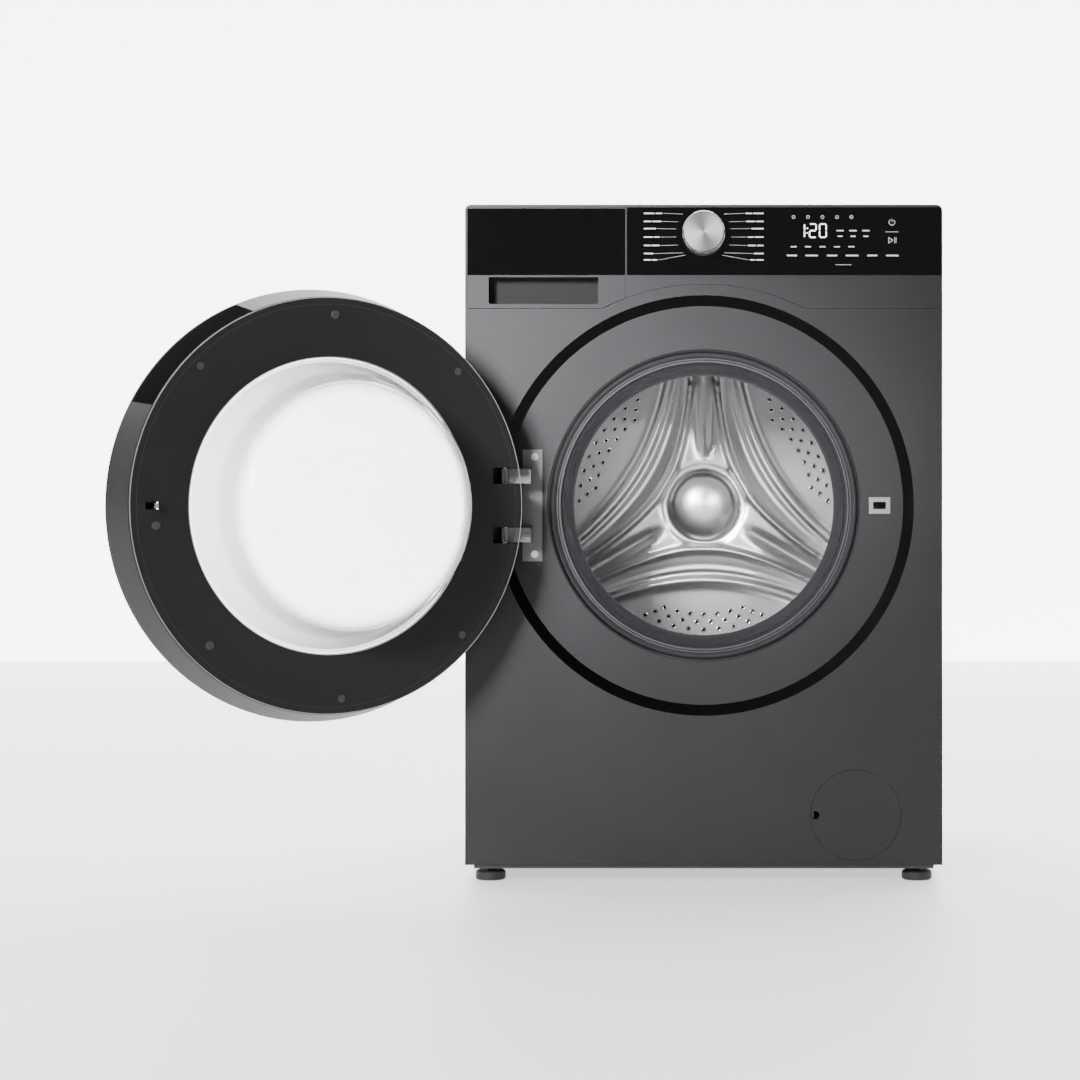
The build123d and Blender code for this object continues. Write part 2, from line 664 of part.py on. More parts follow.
def hinge_bracket():
    """Plate on the recess floor with two goose neck arms that carry the door's pins."""
    y1 = FRONT + RECESS_D
    plate = block(PLATE_X[0], PLATE_X[1], y1 - PLATE_T, y1, AXIS_Z - PLATE_Z, AXIS_Z + PLATE_Z)
    out_x = HINGE_X + ARM_X + ARM_T / 2
    for side in (-1, 1):
        z0 = AXIS_Z + side * HINGE_Z - ARM_H / 2
        z1 = z0 + ARM_H
        plate += block(out_x - ARM_T, out_x, HINGE_Y - ARM_T / 2, y1 - PLATE_T / 2, z0, z1)
        plate += block(HINGE_X, out_x, HINGE_Y - ARM_T / 2, HINGE_Y + ARM_T / 2, z0, z1)
        plate += rod_z(2 * PIN_R, z0, z1, HINGE_X, HINGE_Y)
        plate -= rod_z(PIN_R, z0 - 1, z1 + 1, HINGE_X, HINGE_Y)
    add("hinge_bracket", plate)


def hinge_pins():
    """The two pins that the door turns on."""
    for side in (-1, 1):
        z = AXIS_Z + side * HINGE_Z
        add("hinge_pins", rod_z(PIN_R, z - ARM_H / 2 - 8, z + ARM_H / 2 + 8, HINGE_X, HINGE_Y))


def hinge_screws():
    """Two cap screws that hold the hinge plate."""
    y1 = FRONT + RECESS_D - PLATE_T
    for side in (-1, 1):
        x = (PLATE_X[0] + PLATE_X[1]) / 2 + 3
        head = rod_y(4.6, y1 - 0.9, y1, x, AXIS_Z + side * SCREW_Z)
        add("hinge_screws", head - Pos(x, y1 - 0.9, AXIS_Z + side * SCREW_Z) * Box(4.4, 1.0, 1.2))


# ---------------------------------------------------------------- tub
TUB_Y0 = FRONT + TUB_FRONT
TUB_Y1 = TUB_Y0 + TUB_LENGTH
SPLIT_Y = FRONT + TUB_SPLIT
TUB_OUT = TUB_R + TUB_WALL
NECK_OUT = 11.0
SUMP_Z = AXIS_Z - TUB_R - SUMP_D
HUB_R = 42.0
BEARING_Y = (TUB_Y1 + 2.0, TUB_Y1 + 24.0)
HUB_END = BEARING_Y[1] + BEARING_W + 2.0
HEATER_Z = AXIS_Z - TUB_R - 14.0
HEATER_R = 4.0
MOTOR_REACH = TUB_OUT + MOTOR_R + 8.0
MOTOR_X = MOTOR_REACH * math.cos(math.radians(MOTOR_ANGLE))
MOTOR_Z = AXIS_Z + MOTOR_REACH * math.sin(math.radians(MOTOR_ANGLE))
MOTOR_Y = (45.0, 45.0 + MOTOR_LENGTH)
LUG_TOP = 655.0
ROD_TOP = 282.0


def tub_inside(y0, y1):
    """The room inside the tub, with the sump channel below the drum."""
    channel = block(-SUMP_W / 2, SUMP_W / 2, y0, y1, SUMP_Z, AXIS_Z - TUB_R / 2)
    return rod_y(TUB_R, y0, y1) + channel


def tub_outside(y0, y1):
    """The tub's outer shape."""
    wide = SUMP_W / 2 + TUB_WALL
    channel = block(-wide, wide, y0, y1, SUMP_Z - TUB_WALL, AXIS_Z - TUB_R / 2)
    return rod_y(TUB_OUT, y0, y1) + channel


def tub_front_half():
    """Front half of the tub: neck for the bellows, flange, and the lugs for the damper rods."""
    shell = tub_outside(TUB_Y0, SPLIT_Y) + rod_y(TUB_OUT + 8, SPLIT_Y - 4, SPLIT_Y)
    shell += rod_y(NECK_R, TUB_Y0 - NECK_OUT, TUB_Y0)
    for side in (-1, 1):
        x = side * DAMPER_X
        shell += block(x - 8, x + 8, DAMPER_Y - 8, DAMPER_Y + 8, ROD_TOP, ROD_TOP + 30)
    shell -= tub_inside(TUB_Y0 + TUB_WALL, SPLIT_Y + 1)
    shell -= rod_y(NECK_R - TUB_WALL, TUB_Y0 - NECK_OUT - 1, TUB_Y0 + 5)
    add("tub_front_half", shell)


def bearing_hub():
    """Boss on the tub's back with a seat for each bearing."""
    return turned(
        [
            (BEARING_R - 4, TUB_Y1 - 2), (HUB_R, TUB_Y1 - 2), (HUB_R, HUB_END),
            (BEARING_R, HUB_END), (BEARING_R, BEARING_Y[1]), (BEARING_R - 4, BEARING_Y[1]),
            (BEARING_R - 4, BEARING_Y[0] + BEARING_W), (BEARING_R, BEARING_Y[0] + BEARING_W),
            (BEARING_R, BEARING_Y[0]), (BEARING_R - 4, BEARING_Y[0]),
        ]
    )


def motor_arm(y0, y1):
    """Plate from the tub to the motor."""
    arm = block(TUB_OUT - 1, MOTOR_REACH, y0, y1, AXIS_Z - 20, AXIS_Z + 20)
    pivot = Pos(0, 0, AXIS_Z) * Rot(0, -MOTOR_ANGLE, 0) * Pos(0, 0, -AXIS_Z)
    return pivot * arm - rod_y(MOTOR_R, y0 - 1, y1 + 1, MOTOR_X, MOTOR_Z)


def tub_rear_half():
    """Rear half of the tub: ribbed back, bearing hub, spring lugs, motor arms, transit bosses."""
    back = TUB_Y1 + TUB_WALL
    shell = tub_outside(SPLIT_Y, back) + rod_y(TUB_OUT + 8, SPLIT_Y, SPLIT_Y + 4)
    for side in (-1, 1):
        x = side * SPRING_X
        shell += block(x - 9, x + 9, SPRING_Y - 9, SPRING_Y + 9, LUG_TOP - 40, LUG_TOP)
        for sz in (-1, 1):
            shell += rod_y(13, back - 1, back + 14, side * TRANSIT_X, AXIS_Z + sz * TRANSIT_Z)
    rib = block(HUB_R - 1, TUB_R - 4, back - 1, back + 9, AXIS_Z - 2, AXIS_Z + 2)
    for piece in around(rib, 12, 15.0):
        shell += piece
    shell += motor_arm(70, 78) + motor_arm(150, 158)
    shell -= tub_inside(SPLIT_Y - 1, TUB_Y1)
    shell -= rod_y(HUB_R - 1, TUB_Y1 - 3, back + 12)
    shell += bearing_hub()
    for side in (-1, 1):
        for sz in (-1, 1):
            shell -= rod_y(5, back + 1, back + 15, side * TRANSIT_X, AXIS_Z + sz * TRANSIT_Z)
    shell -= block(-34, 34, TUB_Y1 - 5, back + 5, HEATER_Z - 9, HEATER_Z + 9)
    add("tub_rear_half", shell)


def drum_bearings():
    """Two ball bearings: outer race, balls and inner race."""
    inner = SHAFT_R + RUN
    for y0 in BEARING_Y:
        y1 = y0 + BEARING_W
        add("drum_bearings", ring_y(BEARING_R, BEARING_R - 4.0, y0, y1))
        add("drum_bearings", ring_y(inner + 4.0, inner, y0, y1))
        middle = (BEARING_R - 4.0 + inner + 4.0) / 2
        ball_r = (BEARING_R - inner - 8.0) / 2
        ball = Pos(middle, (y0 + y1) / 2, AXIS_Z) * Sphere(ball_r)
        add("drum_bearings", *around(ball, 9))


def counterweights():
    """Two concrete weights on the tub's front, above and below the porthole."""
    y1 = TUB_Y0
    for start, end in ((35, 145), (215, 325)):
        add("counterweights", sector(TUB_R - 4, PORT_R + 18, y1 - 30, y1, start, end))


def door_bellows():
    """Rubber door seal: a sealing lip at the porthole and one fold back to the tub's neck."""
    f = FRONT + RECESS_D
    outer = PORT_R - CLEAR
    neck = NECK_R + CLEAR
    t = TUB_Y0
    ring = turned(
        [
            (outer, f + 4), (PORT_R - 12, f + 7), (LIP_R, f + 30), (LIP_R, f + 36),
            (LIP_R + 4, f + 38), (PORT_R - 8, f + 21), (PORT_R + 5, f + 21), (PORT_R + 7, f + 36),
            (PORT_R - 4, t - 17), (neck, t - 11), (neck, t - 1), (neck + 5, t - 1),
            (neck + 6, t - 9), (PORT_R, t - 14), (PORT_R + 11, f + 39), (PORT_R + 9, f + 17),
            (outer, f + 17),
        ]
    )
    add("door_bellows", ring)


def heater():
    """Hairpin heating element in the sump with its plug in the tub's back."""
    y0, y1 = TUB_Y0 + 30, TUB_Y1 - 1
    plug = block(-34, 34, TUB_Y1, TUB_Y1 + TUB_WALL + 4, HEATER_Z - 9, HEATER_Z + 9)
    legs = rod_y(HEATER_R, y0, TUB_Y1 + 1, -25, HEATER_Z) + rod_y(HEATER_R, y0, TUB_Y1 + 1, 25, HEATER_Z)
    bend = rod_x(HEATER_R, -25, 25, y0, HEATER_Z)
    tabs = block(-20, -14, y1, TUB_Y1 + 20, HEATER_Z - 0.5, HEATER_Z + 0.5)
    tabs += block(14, 20, y1, TUB_Y1 + 20, HEATER_Z - 0.5, HEATER_Z + 0.5)
    add("heater", plug + legs + bend + tabs)


def suspension_springs():
    """Two tension springs, as closed sleeves of their outer size, with their hooks."""
    top = BODY_TOP - CROSS_H
    for side in (-1, 1):
        x = side * SPRING_X
        sleeve = ring_z(SPRING_R, SPRING_R - 3, LUG_TOP + 8, top - 8, x, SPRING_Y)
        low = rod_z(SPRING_R, LUG_TOP + 8, LUG_TOP + 10, x, SPRING_Y)
        high = rod_z(SPRING_R, top - 10, top - 8, x, SPRING_Y)
        hook_low = rod_z(2, LUG_TOP, LUG_TOP + 9, x, SPRING_Y)
        hook_high = rod_z(2, top - 9, top + 6, x, SPRING_Y)
        add("suspension_springs", sleeve + low + high + hook_low + hook_high)


DAMPER_R = 12.0
DAMPER_TOP = 175.0


def damper_cylinders():
    """Two friction damper cylinders that stand on the base."""
    z0 = STRIP_Z + 20
    for side in (-1, 1):
        x = side * DAMPER_X
        tube = rod_z(DAMPER_R, z0, DAMPER_TOP, x, DAMPER_Y)
        tube -= rod_z(DAMPER_R - 3, z0 + 4, DAMPER_TOP - 4, x, DAMPER_Y)
        tube -= rod_z(STEM_R + RUN, DAMPER_TOP - 5, DAMPER_TOP + 1, x, DAMPER_Y)
        add("damper_cylinders", tube)


def damper_rods():
    """Two damper rods under the tub, each with a friction piston."""
    for side in (-1, 1):
        x = side * DAMPER_X
        rod = rod_z(STEM_R, 95, ROD_TOP, x, DAMPER_Y)
        rod += rod_z(DAMPER_R - 3 - CLEAR, 100, 122, x, DAMPER_Y)
        add("damper_rods", rod)


def sump_hose():
    """Ribbed hose from the sump to the drain pump."""
    y = PUMP_BACK - 24
    x0 = SUMP_W / 2 - 18
    x1 = FILTER_X - PUMP_R - 12
    points = [
        (x0, y, SUMP_Z - TUB_WALL), (x0, y, FILTER_Z + 52), (x0 + 46, y, FILTER_Z), (x1, y, FILTER_Z),
    ]
    add("sump_hose", pipe(points, 22.0, 12.0))


# ---------------------------------------------------------------- drum and drive
DRUM_Y0 = FRONT + DRUM_FRONT
DRUM_Y1 = DRUM_Y0 + DRUM_LENGTH
DRUM_IN = DRUM_R - DRUM_T
PULLEY_Y = HUB_END + 9.0


def drum_shell():
    """Drum wall with its front face and the rolled lip of the mouth."""
    t = DRUM_T
    shell = turned(
        [
            (MOUTH_R, DRUM_Y0 - 3), (MOUTH_R + 4, DRUM_Y0 - 5), (MOUTH_R + 8, DRUM_Y0),
            (DRUM_R - 10, DRUM_Y0), (DRUM_R, DRUM_Y0 + 10), (DRUM_R, DRUM_Y1), (DRUM_IN, DRUM_Y1),
            (DRUM_IN, DRUM_Y0 + 10.5), (DRUM_R - 10.5, DRUM_Y0 + t), (MOUTH_R + 7, DRUM_Y0 + t),
            (MOUTH_R + 3.5, DRUM_Y0 - 3.5), (MOUTH_R, DRUM_Y0 - 1),
        ]
    )
    add("drum_shell", shell)


DOME_R = 47.0
DOME_IN = 18.0


def drum_back():
    """Drum back with its raised centre."""
    y = DRUM_Y1
    add(
        "drum_back",
        turned(
            [
                (0, y - DOME_IN - 2), (DOME_R - 16, y - DOME_IN - 2), (DOME_R, y - DOME_IN + 4),
                (DRUM_IN - 40, y - 4), (DRUM_IN, y - 2), (DRUM_IN, y), (DRUM_IN - 40, y - 2),
                (DOME_R, y - DOME_IN + 6), (DOME_R - 16, y - DOME_IN), (0, y - DOME_IN),
            ]
        ),
    )


LIFTER_H = 48.0


def lifters():
    """Three hollow lifters along the drum wall."""
    high = DRUM_IN - LIFTER_H
    outline = make_face(
        Polyline((-34, DRUM_R + 4), (-15, high), (15, high), (34, DRUM_R + 4), close=True)
    )
    y0, y1 = DRUM_Y0 + 14, DRUM_Y1 - 12
    lifter = Pos(0, y1, AXIS_Z) * Rot(90, 0, 0) * extrude(outline, y1 - y0)
    crest = lifter.edges().filter_by(Axis.Y).sort_by(Axis.Z)[:2]
    lifter = fillet(crest, 10)
    lifter &= rod_y(DRUM_IN, y0 - 1, y1 + 1)
    add("lifters", *around(lifter, 3))


def spider():
    """Cast three armed spider behind the drum."""
    y0, y1 = DRUM_Y1, DRUM_Y1 + 20
    hub = rod_y(34, y0, y1 + 2) + rod_y(DOME_R - 18, y0 - DOME_IN, y0 + 1)
    arm = block(0, DRUM_R - 4, y0, y0 + 16, AXIS_Z - 20, AXIS_Z + 20)
    for piece in around(arm, 3, 30.0):
        hub += piece
    add("spider", hub - rod_y(SHAFT_R, y0 - DOME_IN, y1 + 5))


def drum_shaft():
    """Drum shaft with its stepped end and the nut that holds the pulley."""
    y0 = DRUM_Y1 - DOME_IN
    shaft = rod_y(SHAFT_R, y0, HUB_END + 1)
    shaft += rod_y(SHAFT_END_R, HUB_END, PULLEY_Y + PULLEY_W + 7)
    nut = Pos(0, PULLEY_Y + PULLEY_W + 5, AXIS_Z) * Rot(90, 0, 0) * extrude(RegularPolygon(15, 6), 5)
    add("drum_shaft", shaft + nut)


def drum_pulley():
    """Spoked drum pulley."""
    y0, y1 = PULLEY_Y, PULLEY_Y + PULLEY_W
    wheel = ring_y(PULLEY_R, PULLEY_R - 9, y0, y1) + rod_y(24, y0 - 6, y1)
    spoke = block(20, PULLEY_R - 5, y0 + 4, y0 + 10, AXIS_Z - 9, AXIS_Z + 9)
    for piece in around(spoke, 6):
        wheel += piece
    add("drum_pulley", wheel - rod_y(SHAFT_END_R, y0 - 8, y1 + 2))


def motor_body():
    """Drive motor: a ribbed can with an end plate."""
    body = rod_y(MOTOR_R, MOTOR_Y[0], MOTOR_Y[1], MOTOR_X, MOTOR_Z)
    body += rod_y(22, MOTOR_Y[1] - 1, MOTOR_Y[1] + 8, MOTOR_X, MOTOR_Z)
    body -= rod_y(6 + RUN, MOTOR_Y[1] - 60, MOTOR_Y[1] + 9, MOTOR_X, MOTOR_Z)
    add("motor_body", body)


def motor_pulley():
    """Motor shaft with its small pulley."""
    y0 = PULLEY_Y
    shaft = rod_y(6, MOTOR_Y[1] - 58, y0 + PULLEY_W, MOTOR_X, MOTOR_Z)
    shaft += rod_y(MOTOR_PULLEY_R, y0, y0 + PULLEY_W, MOTOR_X, MOTOR_Z)
    add("motor_pulley", shaft)


def belt_outline(grow):
    """Two pulley circles and the strip between their outer tangents, in the belt's plane."""
    r1, r2 = PULLEY_R + grow, MOTOR_PULLEY_R + grow
    heading = math.radians(MOTOR_ANGLE)
    spread = math.acos((r1 - r2) / MOTOR_REACH)
    ends = []
    for turn in (-1, 1):
        angle = heading + turn * spread
        near = (r1 * math.cos(angle), AXIS_Z + r1 * math.sin(angle))
        far = (MOTOR_X + r2 * math.cos(angle), MOTOR_Z + r2 * math.sin(angle))
        ends.append((near, far))
    strip = make_face(Polyline(ends[0][0], ends[0][1], ends[1][1], ends[1][0], close=True))
    return Pos(0, AXIS_Z) * Circle(r1) + Pos(MOTOR_X, MOTOR_Z) * Circle(r2) + strip


def drive_belt():
    """Flat ribbed belt round both pulleys."""
    loop = belt_outline(CLEAR + BELT_T) - belt_outline(CLEAR)
    y1 = PULLEY_Y + PULLEY_W - 1.5
    add("drive_belt", Pos(0, y1, 0) * Rot(90, 0, 0) * extrude(loop, PULLEY_W - 3))


# ---------------------------------------------------------------- door, built closed and stored open
def opened(piece):
    """Turns a piece of the closed door to its open rest place."""
    pivot = Pos(HINGE_X, HINGE_Y, 0)
    back = Pos(-HINGE_X, -HINGE_Y, 0)
    return pivot * Rot(0, 0, -DOOR_OPEN) * back * piece


def hinge_slots(x1):
    """Room for the goose neck arms through the door's hinge side."""
    slots = []
    for side in (-1, 1):
        z = AXIS_Z + side * HINGE_Z
        half = ARM_H / 2 + 1.0
        slots.append(block(-HALF, x1, HINGE_Y - 2 * PIN_R - 1, DISC_Y + 1, z - half, z + half))
    return slots


BACK_T = 3.0
RIM_ROUND = 7.0
LEDGE = 8.0
SLOT_X = HINGE_X + ARM_X + ARM_T + 4.0


def rim_radius(y):
    """Outer radius of the door's side wall, which tapers towards its back."""
    y0 = RIM_Y + RIM_ROUND
    y1 = DISC_Y - BACK_T
    return DOOR_R + (DOOR_BACK_R + 0.5 - DOOR_R) * (y - y0) / (y1 - y0)


def door_rim():
    """Outer ring of the door with its tapered side wall and the grip recess."""
    w = DOOR_WALL
    y1 = DISC_Y - BACK_T
    rim = turned(
        [
            (WINDOW_R, RIM_Y), (DOOR_R - RIM_ROUND, RIM_Y), (DOOR_R - 2, RIM_Y + 2.5),
            (DOOR_R, RIM_Y + RIM_ROUND), (rim_radius(y1), y1), (rim_radius(y1) - w, y1),
            (DOOR_R - w, RIM_Y + RIM_ROUND + 1), (DOOR_R - w - 3, RIM_Y + 6), (DOOR_R - w - 6, RIM_Y + 5),
            (WINDOW_R - LEDGE, RIM_Y + 5), (WINDOW_R - LEDGE, RIM_Y + 4), (WINDOW_R, RIM_Y + 4),
        ]
    )
    for slot in hinge_slots(SLOT_X):
        rim -= slot
    y_lip = RIM_Y + 10
    deep = DOOR_BACK_R - 12
    pocket = sector(DOOR_R + 5, deep, y_lip, y1 + 1, GRIP_FROM, GRIP_TO)
    cup = sector(DOOR_R - 3.5, deep - w, y_lip - w, y1, GRIP_FROM - 1, GRIP_TO + 1)
    outline = turned(
        [
            (WINDOW_R, RIM_Y + 1), (DOOR_R - w, RIM_Y + 1), (DOOR_R - 1, RIM_Y + RIM_ROUND),
            (rim_radius(y1) - 1, y1), (WINDOW_R, y1),
        ]
    )
    add("door_rim", opened((rim + (cup & outline)) - pocket))


def door_window():
    """Dark outer window of the door, slightly domed."""
    r = WINDOW_R - CLEAR
    pane = turned([(0, RIM_Y - 1.5), (r, RIM_Y + 1), (r, RIM_Y + 4), (0, RIM_Y + 1.5)])
    add("door_window", opened(pane))


LATCH_Y = DISC_Y - 12.0
HOOK_T = 6.0
HOOK_W = 5.0


def door_frame():
    """Matte inner frame: a flat ring with hinge slots, the latch slot and the latch's ears."""
    y0, y1 = DISC_Y - BACK_T, DISC_Y
    ring = ring_y(DOOR_BACK_R, GLASS_R, y0, y1)
    ring = chamfer(ring.edges().filter_by(GeomType.CIRCLE).sort_by(Axis.Y)[-2:], 1.0)
    for slot in hinge_slots(SLOT_X):
        ring -= slot
    ring -= block(LATCH_X - 8, LATCH_X + 8, y0 - 1, y1 + 1, AXIS_Z - 4.5, AXIS_Z + 4.5)
    for side in (-1, 1):
        z0, z1 = AXIS_Z + side * 4.5, AXIS_Z + side * 8.5
        ear = block(LATCH_X - 5, LATCH_X + 5, LATCH_Y - 5, y0 + 1, z0, z1)
        ring += ear
    ring -= rod_z(1.5, AXIS_Z - 20, AXIS_Z + 20, LATCH_X, LATCH_Y)
    for x, z in bumper_places():
        ring -= rod_y(3, y0 - 1, y1 + 1, x, AXIS_Z + z)
    for x, z in screw_places():
        ring -= rod_y(4.5, y1 - 1.2, y1 + 1, x, AXIS_Z + z)
    add("door_frame", opened(ring))


def polar(radius, angle):
    """A place on the door's back, from the centre."""
    turn = math.radians(angle)
    return radius * math.cos(turn), radius * math.sin(turn)


def bumper_places():
    """Three rubber bumpers: one at the top and two on the latch side."""
    return [polar(226.7, 91.0), polar(217.0, -6.0), polar(221.6, -47.0)]


def screw_places():
    """Screws round the inner frame."""
    return [polar(229.5, angle) for angle in (45.0, 135.0, 223.0, 267.0)]


def door_bumpers():
    """Rubber bumpers that meet the recess floor when the door is shut."""
    for x, z in bumper_places():
        head = rod_y(5.5, DISC_Y, DISC_Y + 2.4, x, AXIS_Z + z)
        head = fillet(head.edges().filter_by(GeomType.CIRCLE).sort_by(Axis.Y)[-1:], 1.5)
        add("door_bumpers", opened(head + rod_y(3, DISC_Y - BACK_T, DISC_Y, x, AXIS_Z + z)))


def door_screws():
    """Screws of the inner frame."""
    for x, z in screw_places():
        head = rod_y(4.4, DISC_Y - 1.2, DISC_Y - 0.3, x, AXIS_Z + z)
        head -= Pos(x, DISC_Y - 0.5, AXIS_Z + z) * Box(4.0, 0.6, 1.0)
        head -= Pos(x, DISC_Y - 0.5, AXIS_Z + z) * Box(1.0, 0.6, 4.0)
        add("door_fasteners", opened(head))


def glass_bowl():
    """Glass bowl: a flange behind the frame and a deep cup that reaches into the drum."""
    y0 = DISC_Y - BACK_T
    y1 = DISC_Y + BOWL_DEPTH
    g = GLASS_WALL
    neck = GLASS_R - 1
    waist = LIP_R - 8
    tip = LIP_R - 21
    outline = make_face(
        Polyline(
            (GLASS_R + 9, y0 - g), (GLASS_R + 9, y0), (neck, y0), (waist, DISC_Y + 39), (tip, y1),
            (0, y1), (0, y1 - g), (tip - g, y1 - g), (waist - g, DISC_Y + 38), (neck - g, y0 - g),
            close=True,
        )
    )
    outer = outline.vertices().filter_by(lambda v: abs(v.X - tip) < 0.1)
    outline = fillet(outer, 26)
    inner = outline.vertices().filter_by(lambda v: abs(v.X - tip + g) < 0.1)
    outline = fillet(inner, 22)
    waists = outline.vertices().filter_by(lambda v: abs(v.X - waist) < 0.1)
    outline = fillet(waists, 60)
    waists = outline.vertices().filter_by(lambda v: abs(v.X - waist + g) < 0.1)
    outline = fillet(waists, 60)
    add("glass_bowl", opened(Pos(0, 0, AXIS_Z) * revolve(outline, Axis.Y, 360)))


def door_hinge_knuckles():
    """Ears inside the door, above and below each arm, that turn on the pins."""
    back = RIM_Y + 5
    for side in (-1, 1):
        z = AXIS_Z + side * HINGE_Z
        for end in (-1, 1):
            z0 = z + end * (ARM_H / 2 + 1.5)
            z1 = z + end * (ARM_H / 2 + 7.5)
            low, high = min(z0, z1), max(z0, z1)
            ear = rod_z(2 * PIN_R, low, high, HINGE_X, HINGE_Y)
            ear += block(HINGE_X + 4, HINGE_X + 16, back, HINGE_Y + 2 * PIN_R, low, high)
            ear -= rod_z(PIN_R + RUN, low - 1, high + 1, HINGE_X, HINGE_Y)
            ear &= rod_y(rim_radius(HINGE_Y) - DOOR_WALL - 2, back, HINGE_Y + 20)
            add("door_hinge_knuckles", opened(ear))


def latch_pin():
    """Pin of the latch hook."""
    add("door_fasteners", opened(rod_z(1.5, AXIS_Z - 8.5, AXIS_Z + 8.5, LATCH_X, LATCH_Y)))


def latch_hook():
    """Sprung hook that catches in the lock."""
    z0, z1 = AXIS_Z - HOOK_T / 2, AXIS_Z + HOOK_T / 2
    tip = DISC_Y + 17
    hook = rod_z(4, z0, z1, LATCH_X, LATCH_Y)
    hook += block(LATCH_X - HOOK_W / 2, LATCH_X + HOOK_W / 2, LATCH_Y, tip, z0, z1)
    nose = make_face(
        Polyline(
            (LATCH_X - HOOK_W / 2 - 3.2, tip - 7), (LATCH_X + 1, tip - 7), (LATCH_X + 1, tip),
            (LATCH_X - 1, tip), close=True,
        )
    )
    hook += Pos(0, 0, z0) * extrude(nose, HOOK_T)
    add("latch_hook", opened(hook - rod_z(1.5 + RUN, z0 - 1, z1 + 1, LATCH_X, LATCH_Y)))


# ---------------------------------------------------------------- build
BUILDERS = [
    cabinet_wrap, rear_panel, front_panel, worktop, top_crossbars, base_tray, feet, fascia,
    control_glass, control_board, program_knob, drawer_front, drawer_inlay, drawer_tray,
    dispenser_housing, inlet_valve, fill_hose, drain_outlet, cord_gland, pump_housing, pump_impeller,
    pump_filter, filter_cover, drain_pipe, lock_bezel, door_lock, hinge_bracket, hinge_pins,
    hinge_screws, tub_front_half, tub_rear_half, drum_bearings, counterweights, door_bellows, heater,
    suspension_springs, damper_cylinders, damper_rods, sump_hose, drum_shell, drum_back, lifters,
    spider, drum_shaft, drum_pulley, motor_body, motor_pulley, drive_belt, door_rim, door_window,
    door_frame, door_bumpers, door_screws, glass_bowl, door_hinge_knuckles, latch_pin, latch_hook,
]

os.makedirs("parts", exist_ok=True)
for builder in BUILDERS:
    builder()
for node, solids in PARTS.items():
    shape = solids[0] if len(solids) == 1 else Compound(children=solids)
    export_step(shape, f"parts/{node}.step")
print(len(PARTS), "nodes,", sum(len(solids) for solids in PARTS.values()), "solids")
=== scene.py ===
"""Looks of a front load washing machine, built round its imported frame."""

from __future__ import annotations

import logging
import math
from dataclasses import dataclass, field
from enum import Enum
from typing import Sequence

import bpy
from mathutils import Matrix, Vector


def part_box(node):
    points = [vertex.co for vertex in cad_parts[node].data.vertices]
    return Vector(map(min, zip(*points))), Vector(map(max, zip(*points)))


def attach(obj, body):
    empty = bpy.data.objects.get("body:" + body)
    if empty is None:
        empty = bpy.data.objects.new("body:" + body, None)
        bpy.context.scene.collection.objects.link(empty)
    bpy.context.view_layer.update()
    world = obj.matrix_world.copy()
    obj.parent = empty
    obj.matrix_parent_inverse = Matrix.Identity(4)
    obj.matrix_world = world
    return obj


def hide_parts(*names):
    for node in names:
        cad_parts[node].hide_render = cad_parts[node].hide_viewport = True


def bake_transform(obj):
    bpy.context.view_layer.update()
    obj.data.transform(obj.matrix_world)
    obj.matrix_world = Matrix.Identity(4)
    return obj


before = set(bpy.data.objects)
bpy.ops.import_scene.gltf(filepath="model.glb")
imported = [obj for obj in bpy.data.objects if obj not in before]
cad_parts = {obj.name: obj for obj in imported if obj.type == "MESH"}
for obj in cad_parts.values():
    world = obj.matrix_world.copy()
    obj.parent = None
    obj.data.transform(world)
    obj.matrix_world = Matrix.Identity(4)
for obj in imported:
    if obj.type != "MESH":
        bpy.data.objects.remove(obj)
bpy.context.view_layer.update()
LOG = logging.getLogger("washing_machine")

AXIS_Z = 0.470
FRONT_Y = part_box("front_panel")[0][1]
HINGE = Vector((-0.246, FRONT_Y - 0.027, AXIS_Z))
DOOR_OPEN = math.radians(152.0)
DISC_Y = FRONT_Y + 0.021
CAMERA_GAP = 3.8
Point = tuple[float, float]


class Body(Enum):
    """The rigid bodies that pieces ride on."""

    CABINET = "cabinet"
    DRUM = "drum"
    DOOR = "door"
    DRAWER = "drawer"
    KNOB = "knob"


class Wire:
    """A shader value whose operators add Math nodes."""

    def __init__(self, tree: bpy.types.NodeTree, socket: bpy.types.NodeSocket) -> None:
        """Keeps the tree and the socket that the value comes from."""
        self.tree = tree
        self.socket = socket

    def _math(self, operation: str, *others: "Wire | float") -> "Wire":
        """Adds one Math node.

        Args:
            operation: Blender's name of the operation.
            others: the other values.

        Returns:
            The result as a new value.
        """
        maths = self.tree.nodes.new("ShaderNodeMath")
        maths.operation = operation
        for slot, value in zip(maths.inputs, [self, *others]):
            if isinstance(value, Wire):
                self.tree.links.new(value.socket, slot)
            else:
                slot.default_value = value
        return Wire(self.tree, maths.outputs[0])

    def __add__(self, other: "Wire | float") -> "Wire":
        """Sum."""
        return self._math("ADD", other)

    def __radd__(self, other: float) -> "Wire":
        """Sum with a number first."""
        return self._math("ADD", other)

    def __sub__(self, other: "Wire | float") -> "Wire":
        """Difference."""
        return self._math("SUBTRACT", other)

    def __mul__(self, other: "Wire | float") -> "Wire":
        """Product."""
        return self._math("MULTIPLY", other)

    def __rmul__(self, other: float) -> "Wire":
        """Product with a number first."""
        return self._math("MULTIPLY", other)

    def __pow__(self, other: "Wire | float") -> "Wire":
        """Power."""
        return self._math("POWER", other)

    def sine(self) -> "Wire":
        """Sine."""
        return self._math("SINE")

    def angle(self, other: "Wire") -> "Wire":
        """Angle of the pair of this value and another."""
        return self._math("ARCTAN2", other)


